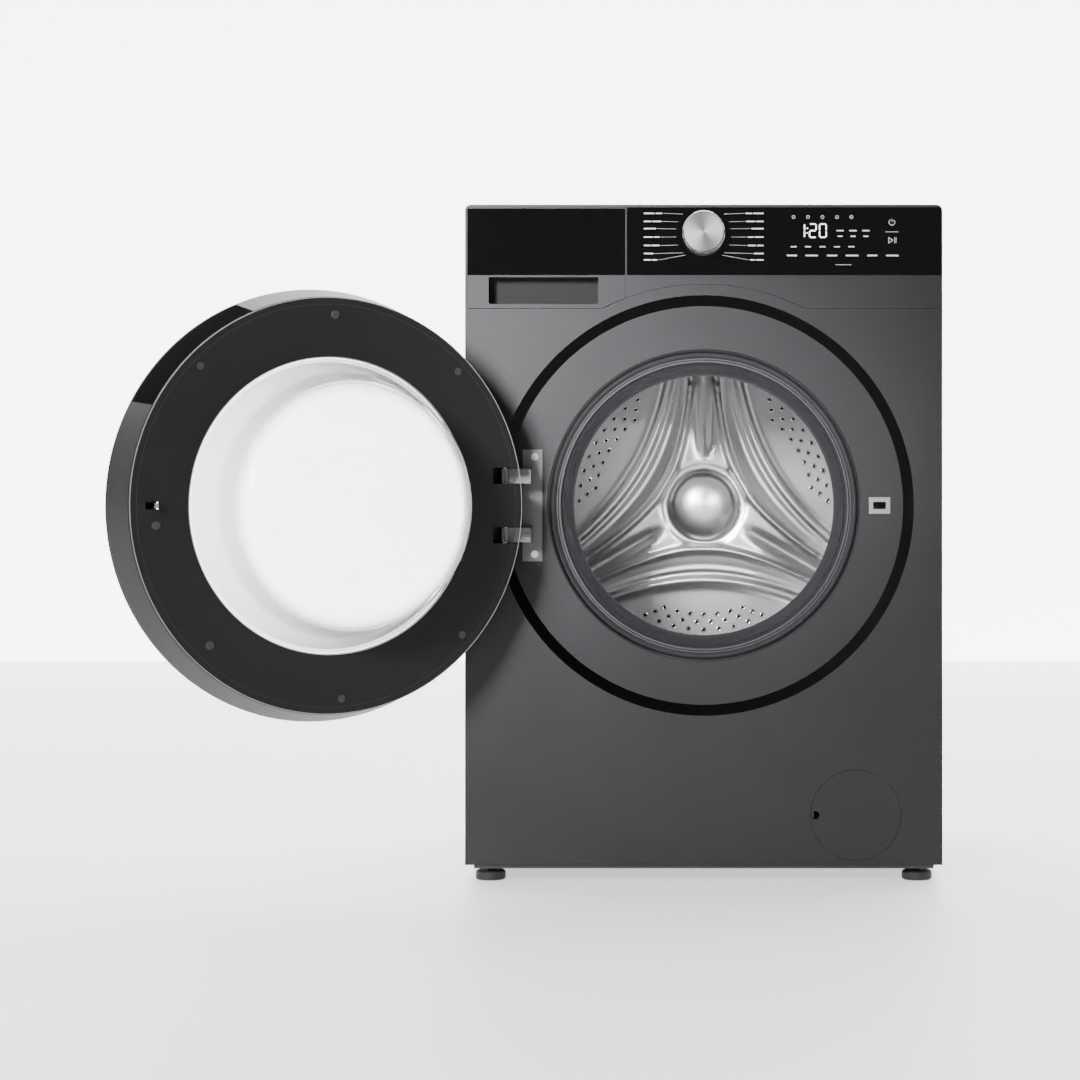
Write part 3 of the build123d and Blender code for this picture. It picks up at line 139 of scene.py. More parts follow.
class Recipe:
    """A material under construction, with its Principled shader."""

    def __init__(self, name: str) -> None:
        """Starts an empty material.

        Args:
            name: the material's name.
        """
        self.material = bpy.data.materials.new(name)
        self.material.use_nodes = True
        self.tree = self.material.node_tree
        self.tree.nodes.clear()
        self.output = self.tree.nodes.new("ShaderNodeOutputMaterial")
        self.shader = self.tree.nodes.new("ShaderNodeBsdfPrincipled")
        self.tree.links.new(self.shader.outputs[0], self.output.inputs[0])
        place = self.tree.nodes.new("ShaderNodeTexCoord")
        self.place = Wire(self.tree, place.outputs["Object"])

    def node(self, kind: str, settings: dict, values: dict, out: str | int = 0) -> Wire:
        """Adds one node.

        Args:
            kind: Blender's name of the node.
            settings: the node's own settings, set first.
            values: its inputs by name or number, as numbers or wires.
            out: the output wanted.

        Returns:
            The output as a wire.
        """
        made = self.tree.nodes.new(kind)
        for name, value in settings.items():
            if name == "stops":
                ramp = made.color_ramp
                ramp.elements[0].position, ramp.elements[1].position = value[0][0], value[-1][0]
                for at, _ in value[1:-1]:
                    ramp.elements.new(at)
                for element, (_, colour) in zip(ramp.elements, value):
                    element.color = (*colour, 1.0)
            else:
                setattr(made, name, value)
        for name, value in values.items():
            if isinstance(value, Wire):
                self.tree.links.new(value.socket, made.inputs[name])
            else:
                made.inputs[name].default_value = value
        return Wire(self.tree, made.outputs[out])

    def noise(self, scale: float, detail: float = 3.0, rough: float = 0.5, at: Wire | None = None) -> Wire:
        """Noise over the object's own coordinates."""
        values = {"Vector": at or self.place, "Scale": scale, "Detail": detail, "Roughness": rough}
        return self.node("ShaderNodeTexNoise", {}, values)

    def stretched(self, scale: tuple[float, float, float]) -> Wire:
        """Object coordinates scaled along each axis, for brushed grain."""
        return self.node("ShaderNodeMapping", {}, {"Vector": self.place, "Scale": scale})

    def axes(self) -> tuple[Wire, Wire, Wire]:
        """The object coordinates one by one."""
        split = self.node("ShaderNodeSeparateXYZ", {}, {0: self.place})
        outs = split.socket.node.outputs
        return tuple(Wire(self.tree, outs[i]) for i in range(3))

    def blend(self, low: Sequence[float], high: Sequence[float], by: Wire) -> Wire:
        """A colour between two others."""
        return self.node(
            "ShaderNodeMix", {"data_type": "RGBA"}, {0: by, 6: (*low, 1.0), 7: (*high, 1.0)}, 2
        )

    def fixed(self, **values: float | tuple) -> None:
        """Sets the shader's own inputs; underscores in the names stand for spaces."""
        for name, value in values.items():
            self.shader.inputs[name.replace("_", " ")].default_value = value

    def drive(self, name: str, value: Wire) -> None:
        """Links a value that changes over the surface to one of the shader's inputs."""
        self.tree.links.new(value.socket, self.shader.inputs[name])

    def relief(self, height: Wire, strength: float, distance: float) -> None:
        """Puts a bump on the shader's normal."""
        values = {"Height": height, "Strength": strength, "Distance": distance}
        self.drive("Normal", self.node("ShaderNodeBump", {}, values))


@dataclass(frozen=True)
class Finish:
    """A surface with its colour, its gloss, and a fine grain.

    Args:
        name: the material's name.
        colour: base colour.
        rough: mean roughness.
        metal: how metallic it is.
        coat: strength of a clear coat.
        grain: scale of the bump's noise.
        depth: height of the bump in metres.
        spread: how far colour and roughness wander.
        stretch: how the grain is drawn out along each axis.
        shine: strength of its plain reflection.
    """

    name: str
    colour: tuple[float, float, float]
    rough: float
    metal: float = 0.0
    coat: float = 0.0
    grain: float = 900.0
    depth: float = 0.00004
    spread: float = 0.08
    stretch: tuple[float, float, float] = (1.0, 1.0, 1.0)
    shine: float = 0.5

    def build(self) -> bpy.types.Material:
        """Makes the material."""
        made = Recipe(self.name)
        made.fixed(Metallic=self.metal, Specular_IOR_Level=self.shine)
        made.fixed(Coat_Weight=self.coat, Coat_Roughness=0.06)
        at = made.stretched(self.stretch)
        cloud = made.noise(9.0, 4.0, 0.6)
        fine = made.noise(self.grain, 2.0, 0.6, at)
        low = tuple(c * (1.0 - self.spread) for c in self.colour)
        high = tuple(min(1.0, c * (1.0 + self.spread)) for c in self.colour)
        made.drive("Base Color", made.blend(low, high, 0.5 * cloud + 0.5 * fine))
        made.drive("Roughness", self.rough + (cloud - 0.5) * (self.spread * 0.6) + (fine - 0.5) * 0.04)
        made.relief(fine, 0.35, self.depth)
        return made.material


@dataclass(frozen=True)
class SpunFinish:
    """Metal turned on a lathe, with concentric grooves and painted highlight wedges in its base colour."""

    name: str
    centre: tuple[float, float, float]
    colour: tuple[float, float, float] = (0.62, 0.62, 0.63)
    groove: float = 4200.0

    def build(self) -> bpy.types.Material:
        """Makes the material."""
        made = Recipe(self.name)
        made.fixed(Metallic=1.0)
        x, _, z = made.axes()
        dx, dz = x - self.centre[0], z - self.centre[2]
        radius = (dx * dx + dz * dz) ** 0.5
        rings = (radius * self.groove).sine()
        jitter = made.noise(2400.0, 1.0)
        turn = dz.angle(dx)
        # Painted highlight: bright and dark wedges by angle round the centre, put into the base colour in
        # place of the light that the grooves throw.
        painted_highlight_wedge = (2.0 * turn + 0.9).sine() * 0.5 + 0.5
        low = tuple(c * 0.2 for c in self.colour)
        high = tuple(min(1.0, c * 1.45) for c in self.colour)
        made.drive("Base Color", made.blend(low, high, painted_highlight_wedge * 0.75 + jitter * 0.25))
        made.drive("Roughness", 0.24 + jitter * 0.12)
        made.relief(rings * 0.5 + jitter, 0.5, 0.00003)
        return made.material


@dataclass(frozen=True)
class ClearFinish:
    """Clear pane that shows what is behind it, with painted shade: its colour darker where it turns away."""

    name: str
    colour: tuple[float, float, float] = (0.86, 0.87, 0.88)
    face: float = 0.2
    edge: float = 0.75

    def build(self) -> bpy.types.Material:
        """Makes the material."""
        made = Recipe(self.name)
        made.fixed(IOR=1.5, Coat_Weight=1.0, Coat_Roughness=0.02)
        facing = made.node("ShaderNodeLayerWeight", {}, {"Blend": 0.5}, "Facing")
        shade = tuple(c * 0.04 for c in self.colour)
        # Painted shade: the colour goes dark where the surface turns away from the view.
        made.drive("Base Color", made.blend(self.colour, shade, facing ** 0.8))
        haze = made.noise(26.0, 3.0)
        made.drive("Alpha", self.face + facing * (self.edge - self.face) + (haze - 0.5) * 0.05)
        made.drive("Roughness", 0.04 + haze * 0.05)
        return made.material


@dataclass(frozen=True)
class GlowFinish:
    """Printed mark with a faint painted glow, or lit mark."""

    name: str
    colour: tuple[float, float, float]
    power: float

    def build(self) -> bpy.types.Material:
        """Makes the material."""
        made = Recipe(self.name)
        made.fixed(Roughness=0.5, Emission_Strength=self.power)
        speck = made.noise(1500.0, 2.0)
        low = tuple(c * 0.9 for c in self.colour)
        made.drive("Base Color", made.blend(low, self.colour, speck))
        made.drive("Emission Color", made.blend(low, self.colour, speck))
        return made.material


class Bench:
    """Modelling moves that every sub-assembly uses."""

    @staticmethod
    def clear() -> None:
        """Leaves nothing selected and goes to object mode."""
        if bpy.context.object and bpy.context.object.mode != "OBJECT":
            bpy.ops.object.mode_set(mode="OBJECT")
        bpy.ops.object.select_all(action="DESELECT")

    @staticmethod
    def pick(*pieces: bpy.types.Object) -> None:
        """Selects only these pieces, the first one active."""
        Bench.clear()
        for piece in pieces:
            piece.select_set(True)
        bpy.context.view_layer.objects.active = pieces[0]

    @staticmethod
    def named(name: str) -> bpy.types.Object:
        """Names the active object and its mesh."""
        made = bpy.context.object
        made.name = name
        made.data.name = name
        return made

    @staticmethod
    def settle(piece: bpy.types.Object) -> bpy.types.Object:
        """Puts the piece's place into its mesh."""
        Bench.pick(piece)
        bpy.ops.object.transform_apply(location=True, rotation=True, scale=True)
        return piece

    @staticmethod
    def lathe(
        name: str,
        outline: Sequence[Point],
        centre: tuple[float, float, float] = (0.0, 0.0, AXIS_Z),
        closed: bool = True,
        steps: int = 160,
        sharp: float = 32.0,
    ) -> bpy.types.Object:
        """Turns an outline about an axis along Y.

        Args:
            name: the piece's name.
            outline: points of radius and place along Y from the centre, in metres.
            centre: a point on the axis.
            closed: whether the outline's end joins its start.
            steps: segments round the axis.
            sharp: the angle in degrees above which an edge stays crisp.

        Returns:
            The new piece.
        """
        Bench.clear()
        first = Vector((outline[0][0], outline[0][1], 0.0)) + Vector(centre)
        bpy.ops.mesh.primitive_plane_add(size=0.001, location=(0, 0, 0))
        made = Bench.named(name)
        bpy.ops.object.mode_set(mode="EDIT")
        bpy.ops.mesh.select_all(action="SELECT")
        bpy.ops.mesh.merge(type="CENTER")
        bpy.ops.transform.translate(value=first)
        last = outline[0]
        path = [*outline[1:], outline[0]] if closed else outline[1:]
        for radius, along in path:
            move = (radius - last[0], along - last[1], 0.0)
            bpy.ops.mesh.extrude_region_move(TRANSFORM_OT_translate={"value": move})
            last = (radius, along)
        bpy.ops.mesh.select_all(action="SELECT")
        bpy.ops.mesh.remove_doubles(threshold=1e-6)
        bpy.ops.mesh.spin(steps=steps, angle=math.tau, center=centre, axis=(0.0, 1.0, 0.0))
        bpy.ops.mesh.select_all(action="SELECT")
        bpy.ops.mesh.remove_doubles(threshold=1e-6)
        bpy.ops.mesh.normals_make_consistent(inside=False)
        bpy.ops.object.mode_set(mode="OBJECT")
        Bench.smooth(made, sharp)
        return made

    @staticmethod
    def smooth(piece: bpy.types.Object, sharp: float = 32.0) -> None:
        """Shades a piece smooth, with crisp edges above an angle."""
        Bench.pick(piece)
        bpy.ops.object.shade_smooth_by_angle(angle=math.radians(sharp))

    @staticmethod
    def slab(
        name: str,
        size: tuple[float, float, float],
        centre: tuple[float, float, float],
        round_by: float = 0.0,
        segments: int = 3,
    ) -> bpy.types.Object:
        """A block with rounded edges.

        Args:
            name: the piece's name.
            size: its three sizes.
            centre: its middle.
            round_by: radius of its edges.
            segments: facets of each rounded edge.

        Returns:
            The new piece.
        """
        Bench.clear()
        bpy.ops.mesh.primitive_cube_add(size=1.0, location=centre, scale=size)
        made = Bench.settle(Bench.named(name))
        if round_by > 0.0:
            bevel = made.modifiers.new("edges", "BEVEL")
            bevel.width = round_by
            bevel.segments = segments
            bpy.ops.object.modifier_apply(modifier=bevel.name)
        Bench.smooth(made)
        return made

    @staticmethod
    def join(name: str, pieces: Sequence[bpy.types.Object]) -> bpy.types.Object:
        """One object from several."""
        Bench.pick(*pieces)
        bpy.ops.object.join()
        return Bench.named(name)

    @staticmethod
    def turned(angle: float, centre: tuple[float, float, float] = (0.0, 0.0, AXIS_Z)) -> Matrix:
        """A turn about the axis along Y through a point, from +X towards +Z."""
        middle = Vector(centre)
        return Matrix.Translation(middle) @ Matrix.Rotation(-angle, 4, "Y") @ Matrix.Translation(-middle)

    @staticmethod
    def opened() -> Matrix:
        """The turn that takes the shut door's pieces to its open rest place."""
        return Matrix.Translation(HINGE) @ Matrix.Rotation(-DOOR_OPEN, 4, "Z") @ Matrix.Translation(-HINGE)


class Shop:
    """Dresses pieces and gives them to their bodies."""

    def __init__(self) -> None:
        """Starts with no materials made."""
        self.made: dict[str, bpy.types.Material] = {}

    def material(self, finish) -> bpy.types.Material:
        """The material of a finish, made once."""
        if finish.name not in self.made:
            self.made[finish.name] = finish.build()
        return self.made[finish.name]

    def dress(self, piece: bpy.types.Object, finish) -> None:
        """Puts one finish all over a piece."""
        piece.data.materials.clear()
        piece.data.materials.append(self.material(finish))

    def dress_nodes(self, finish, *nodes: str) -> None:
        """Puts one finish on CAD nodes."""
        for name in nodes:
            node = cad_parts[name]
            for slot in node.material_slots:
                slot.material = self.material(finish)
            LOG.info("dressed %s in %s", name, finish.name)

    def give(
        self, piece: bpy.types.Object, finish, body: Body, slot: str, replaces: Sequence[str] = ()
    ) -> None:
        """Dresses a new piece and lets it ride.

        Args:
            piece: the new piece.
            finish: its finish.
            body: the body that carries it.
            slot: the record's material slot; not used.
            replaces: CAD nodes that it stands for.
        """
        self.dress(piece, finish)
        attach(piece, body.value)
        if replaces:
            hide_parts(*replaces)
        LOG.info("built %s on %s", piece.name, body.value)


SHELL_PAINT = Finish("titanium_paint", (0.038, 0.0362, 0.0385), 0.37, 1.0, 0.0, 2600.0, 0.00002, 0.1)
TOP_PAINT = Finish("worktop_paint", (0.05, 0.048, 0.051), 0.4, 0.9, 0.0, 1800.0, 0.00004, 0.1)
PANEL_PAINT = Finish("panel_paint", (0.038, 0.0362, 0.0385), 0.37, 1.0, 0.0, 2600.0, 0.00002, 0.1)
GLOSS_BLACK = Finish("gloss_black", (0.0008, 0.0008, 0.001), 0.06, 0.0, 0.5, 60.0, 0.000004, 0.2)
CLEAR_WINDOW = ClearFinish("clear_window", (0.9, 0.905, 0.91), 0.03, 0.3)
BOWL_GLASS = ClearFinish("bowl_glass", (0.82, 0.83, 0.84), 0.08, 0.9)
MATTE_BLACK = Finish("matte_black", (0.010, 0.010, 0.0105), 0.4, 0.0, 0.0, 1500.0, 0.00004, 0.1, shine=0.14)
DARK_TRIM = Finish("dark_trim", (0.02, 0.02, 0.021), 0.3, 0.0, 0.1, 1200.0, 0.00003, 0.12)
BLACK_PLASTIC = Finish("black_plastic", (0.018, 0.018, 0.019), 0.5, 0.0, 0.0, 1100.0, 0.00008, 0.12)
GREY_PLASTIC = Finish("grey_plastic", (0.2, 0.2, 0.205), 0.48, 0.0, 0.0, 900.0, 0.00006)
WHITE_PLASTIC = Finish("white_plastic", (0.66, 0.67, 0.68), 0.42, 0.0, 0.05, 900.0, 0.00004, 0.04)
RUBBER = Finish("seal_rubber", (0.028, 0.0285, 0.031), 0.4, 0.0, 0.0, 700.0, 0.00006, 0.14)
FOOT_RUBBER = Finish("foot_rubber", (0.014, 0.014, 0.014), 0.62, 0.0, 0.0, 800.0, 0.0001, 0.15)
DRUM_STEEL = Finish("drum_steel", (0.66, 0.665, 0.67), 0.3, 1.0, 0.0, 500.0, 0.000003, 0.06, (1, 1, 0.25))
CHROME = Finish("chrome", (0.72, 0.72, 0.73), 0.1, 1.0, 0.0, 300.0, 0.000004, 0.05)
ZINC = Finish("zinc_plate", (0.5, 0.505, 0.51), 0.34, 1.0, 0.0, 420.0, 0.00004, 0.18)
STEEL_PLATE = Finish("steel_plate", (0.15, 0.15, 0.153), 0.36, 1.0, 0.0, 420.0, 0.00003, 0.12)
CAST = Finish("cast_alloy", (0.42, 0.42, 0.42), 0.5, 1.0, 0.0, 700.0, 0.0002, 0.12)
CONCRETE = Finish("concrete", (0.36, 0.355, 0.34), 0.85, 0.0, 0.0, 320.0, 0.0005, 0.2)
MOTOR_PAINT = Finish("motor_paint", (0.05, 0.05, 0.055), 0.4, 0.5, 0.1, 700.0, 0.00005)
BOARD = Finish("circuit_board", (0.03, 0.14, 0.07), 0.4, 0.0, 0.1, 900.0, 0.0001, 0.3)
# Panel print made to glow faintly: a painted glow, since print gives no light.
PRINT_WITH_PAINTED_GLOW = GlowFinish("panel_print", (0.6, 0.6, 0.6), 0.12)
LIT = GlowFinish("display_light", (0.95, 0.97, 1.0), 1.6)
HOLE = Finish("hole_shadow", (0.01, 0.01, 0.01), 0.8, 0.0, 0.0, 400.0, 0.00001)


@dataclass
class Shell:
    """Cabinet, base and worktop."""

    shop: Shop

    def build(self) -> None:
        """Dresses the outer panels and makes the small parts on them."""
        shop = self.shop
        shop.dress_nodes(SHELL_PAINT, "cabinet_wrap", "front_panel", "rear_panel", "filter_cover")
        shop.dress_nodes(TOP_PAINT, "worktop")
        shop.dress_nodes(PANEL_PAINT, "fascia", "drawer_front")
        shop.dress_nodes(BLACK_PLASTIC, "base_tray", "cord_gland", "door_lock")
        shop.dress_nodes(GREY_PLASTIC, "lock_bezel", "drain_outlet", "drain_pipe", "damper_cylinders")
        shop.dress_nodes(ZINC, "top_crossbars", "foot_lock_nuts", "damper_rods")
        self.port_edge()
        self.cover_ring()
        self.feet()

    def port_edge(self) -> None:
        """Rolled edge of the porthole, in dark trim."""
        r = 0.1935
        y = FRONT_Y + 0.0238
        ring = Bench.lathe("port_edge", [(r, y), (r + 0.0012, y - 0.0012), (r + 0.0026, y)], (0, 0, AXIS_Z))
        self.shop.give(ring, DARK_TRIM, Body.CABINET, "painted_shell")

    def cover_ring(self) -> None:
        """Dark ring behind the service cover's gap, painted shade that makes the gap read dark."""
        low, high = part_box("filter_cover")
        x, z = (low[0] + high[0]) / 2, (low[2] + high[2]) / 2
        r = (high[0] - low[0]) / 2
        y = high[1] + 0.0006
        outline = [(r - 0.004, y), (r + 0.004, y), (r + 0.004, y + 0.006), (r - 0.004, y + 0.006)]
        # Painted shade: a black ring behind the gap so that the gap reads dark.
        ring = Bench.lathe("service_cover_gap_shade", outline, (x, 0.0, z), steps=96)
        self.shop.give(ring, BLACK_PLASTIC, Body.CABINET, "black_plastic")

    def feet(self) -> None:
        """Dresses the feet."""
        for place in ("front_left", "front_right", "rear_left", "rear_right"):
            self.shop.dress_nodes(FOOT_RUBBER, "foot_" + place)


@dataclass
class Porthole:
    """The rubber seal between the front panel and the tub."""

    shop: Shop
    lip: float = 0.164
    rim: float = 0.1917
    neck: float = 0.1783

    def build(self) -> None:
        """Makes the ribbed seal between the cabinet and the tub."""
        y = FRONT_Y
        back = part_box("tub_front_half")[0][1]
        outline = [
            (self.rim, y + 0.031), (self.rim, y + 0.0285), (0.1895, y + 0.027), (0.187, y + 0.029),
            (0.185, y + 0.0335), (0.1835, y + 0.0335), (0.182, y + 0.031), (0.180, y + 0.031),
            (0.1785, y + 0.035), (0.177, y + 0.037), (0.1755, y + 0.035), (0.174, y + 0.037),
            (0.170, y + 0.046), (0.166, y + 0.053), (self.lip, y + 0.0545), (self.lip, y + 0.06),
            (0.168, y + 0.062), (0.184, y + 0.046), (0.197, y + 0.0452), (0.199, y + 0.06),
            (0.187, y + 0.068), (self.neck, back + 0.0005), (self.neck, back + 0.010),
            (self.neck + 0.0045, back + 0.010), (self.neck + 0.0055, back + 0.002), (0.191, y + 0.071),
            (0.203, y + 0.0625), (0.2005, y + 0.0415), (self.rim, y + 0.0412),
        ]
        seal = Bench.lathe("porthole_seal", outline, (0, 0, AXIS_Z), steps=200, sharp=50.0)
        self.shop.dress(seal, RUBBER)
        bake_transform(seal)
        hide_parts("door_bellows")
        LOG.info("built %s", seal.name)


@dataclass
class Drum:
    """Drum back with its three armed relief and raised perforations, drum wall and lifters."""

    shop: Shop
    radius: float = 0.2438
    dome: float = 0.047
    rings: int = 90
    steps: int = 360
    first_row: float = 0.151
    row_gap: float = 0.0104
    rows: int = 9
    pitch: float = 7.0
    clear_of_arms: float = 0.112
    ridges: Sequence[tuple[float, float, float]] = (
        (0.0055, 0.090, 0.0065), (0.002, 0.076, 0.0028), (0.004, 0.052, 0.0048),
    )
    wall_rows: int = 15
    wall_columns: int = 72
    lifter_half_angle: float = 11.0
    back_y: float = field(default=0.0)

    @staticmethod
    def spread(x: float, z: float) -> tuple[float, float]:
        """How far a place lies from the arms beside it.

        Args:
            x: place across, from the axis.
            z: place up, from the axis.

        Returns:
            The distance to the nearer arm's centreline, and the mean of both distances.
        """
        r = math.hypot(x, z)
        turn = (math.degrees(math.atan2(z, x)) - 90.0) % 120.0
        off = abs(turn - 60.0)
        near = r * math.sin(math.radians(60.0 - off))
        far = r * math.sin(math.radians(60.0 + off))
        return near, math.sqrt(max(near * far, 0.0))

    def height(self, x: float, z: float) -> float:
        """Height of the pressed relief above the drum back, towards the mouth."""
        r = math.hypot(x, z)
        near, mean = self.spread(x, z)
        inner = 1.0 / (1.0 + math.exp((mean - 0.071) / 0.004))
        rise = sum(high * math.exp(-(((mean - at) / wide) ** 2)) for high, at, wide in self.ridges)
        rise += 0.004 * inner
        groove = math.exp(-((near / 0.009) ** 2)) / (1.0 + math.exp((0.075 - r) / 0.008))
        rise -= 0.006 * groove
        rise -= 0.003 * math.exp(-(((r - 0.052) / 0.006) ** 2))
        fade = 1.0 / (1.0 + math.exp((r - 0.228) / 0.004))
        cone = 0.010 * max(0.0, 1.0 - r / self.radius)
        cap = 0.016 * math.sqrt(max(0.0, 1.0 - (r / self.dome) ** 2)) if r < self.dome else 0.0
        return rise * fade + cone + cap

    def build(self) -> None:
        """Makes the back, its perforations, and dresses the drum's other parts."""
        self.back_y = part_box("drum_back")[1][1]
        self.back()
        self.perforations()
        self.wall_perforations()
        self.shop.dress_nodes(DRUM_STEEL, "drum_shell", "lifters")
        self.shop.dress_nodes(CAST, "spider", "drum_pulley")
        self.shop.dress_nodes(CHROME, "drum_shaft")

    def back(self) -> None:
        """The pressed sheet behind the laundry."""
        Bench.clear()
        bpy.ops.mesh.primitive_plane_add(size=0.001, location=(0, 0, 0))
        plate = Bench.named("drum_back_plate")
        bpy.ops.object.mode_set(mode="EDIT")
        bpy.ops.mesh.select_all(action="SELECT")
        bpy.ops.mesh.merge(type="CENTER")
        bpy.ops.transform.translate(value=(0.0006, self.back_y, AXIS_Z))
        bpy.ops.mesh.extrude_region_move(TRANSFORM_OT_translate={"value": (self.radius - 0.0006, 0, 0)})
        bpy.ops.mesh.select_all(action="SELECT")
        bpy.ops.mesh.subdivide(number_cuts=self.rings)
        bpy.ops.mesh.spin(
            steps=self.steps, angle=math.tau, center=(0, self.back_y, AXIS_Z), axis=(0.0, 1.0, 0.0)
        )
        bpy.ops.mesh.select_all(action="SELECT")
        bpy.ops.mesh.remove_doubles(threshold=1e-6)
        bpy.ops.object.mode_set(mode="OBJECT")
        for vertex in plate.data.vertices:
            x, z = vertex.co.x, vertex.co.z - AXIS_Z
            vertex.co.y = self.back_y - 0.003 - self.height(x, z)
        wall = plate.modifiers.new("sheet", "SOLIDIFY")
        wall.thickness = 0.0008
        wall.offset = -1.0
        Bench.pick(plate)
        bpy.ops.object.modifier_apply(modifier=wall.name)
        bpy.ops.object.mode_set(mode="EDIT")
        bpy.ops.mesh.select_all(action="SELECT")
        bpy.ops.mesh.normals_make_consistent(inside=False)
        bpy.ops.object.mode_set(mode="OBJECT")
        Bench.smooth(plate, 60.0)
        self.shop.give(plate, DRUM_STEEL, Body.DRUM, "drum_steel", ["drum_back"])

    def eyelet(self, name: str) -> bpy.types.Object:
        """One raised perforation at the axis, facing the mouth."""
        outline = [
            (0.0043, 0.0004), (0.0036, -0.0011), (0.0026, -0.0015), (0.0019, -0.0008), (0.0018, 0.0008),
        ]
        return Bench.lathe(name, outline, (0.0, 0.0, 0.0), steps=10, sharp=80.0)

    def scatter(self, name: str, seed: bpy.types.Object, places: Sequence[Matrix]) -> bpy.types.Object:
        """Copies a seed piece to many places and joins the copies."""
        copies = []
        for place in places:
            twin = seed.copy()
            twin.data = seed.data.copy()
            twin.data.transform(place)
            bpy.context.collection.objects.link(twin)
            copies.append(twin)
        Bench.pick(seed)
        bpy.ops.object.delete()
        return Bench.join(name, copies)

    def perforations(self) -> None:
        """Rows of raised holes in the three fields of the back."""
        places = []
        for row in range(self.rows):
            r = self.first_row + row * self.row_gap
            shift = 0.5 * (row % 2)
            for step in range(-6, 7):
                off = (step + shift) * self.pitch
                for middle in (30.0, 150.0, 270.0):
                    angle = math.radians(middle + off)
                    x, z = r * math.cos(angle), r * math.sin(angle)
                    if abs(off) > 40.0 or self.spread(x, z)[1] < self.clear_of_arms or r > 0.236:
                        continue
                    y = self.back_y - 0.003 - self.height(x, z)
                    places.append(Matrix.Translation((x, y, AXIS_Z + z)))
        rims = self.scatter("drum_back_eyelets", self.eyelet("eyelet"), places)
        self.shop.give(rims, CHROME, Body.DRUM, "drum_steel")
        pit = Bench.lathe("pit", [(0.0, -0.0012), (0.0022, -0.0012), (0.0022, 0.0003), (0.0, 0.0003)],
                          (0.0, 0.0, 0.0), closed=False, steps=12)
        pits = self.scatter("drum_back_holes", pit, places)
        self.shop.give(pits, HOLE, Body.DRUM, "black_plastic")

    def wall_perforations(self) -> None:
        """Holes in the drum's wall, between the lifters."""
        low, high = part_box("drum_shell")
        first, last = low[1] + 0.03, high[1] - 0.02
        radius = self.radius + 0.00005
        places = []
        for column in range(self.wall_columns):
            angle = column * math.tau / self.wall_columns
            if abs((math.degrees(angle) - 90.0 + 60.0) % 120.0 - 60.0) < self.lifter_half_angle:
                continue
            for row in range(self.wall_rows):
                y = first + (last - first) * (row + 0.5 * (column % 2)) / self.wall_rows
                turn = Bench.turned(angle)
                stand = Matrix.Translation((radius, y, AXIS_Z)) @ Matrix.Rotation(math.radians(-90), 4, "Z")
                places.append(turn @ stand)
        pit = Bench.lathe("wall_pit", [(0.0, -0.0004), (0.0017, -0.0004), (0.0021, 0.0002)],
                          (0.0, 0.0, 0.0), closed=False, steps=8)
        pits = self.scatter("drum_wall_holes", pit, places)
        self.shop.give(pits, HOLE, Body.DRUM, "black_plastic")


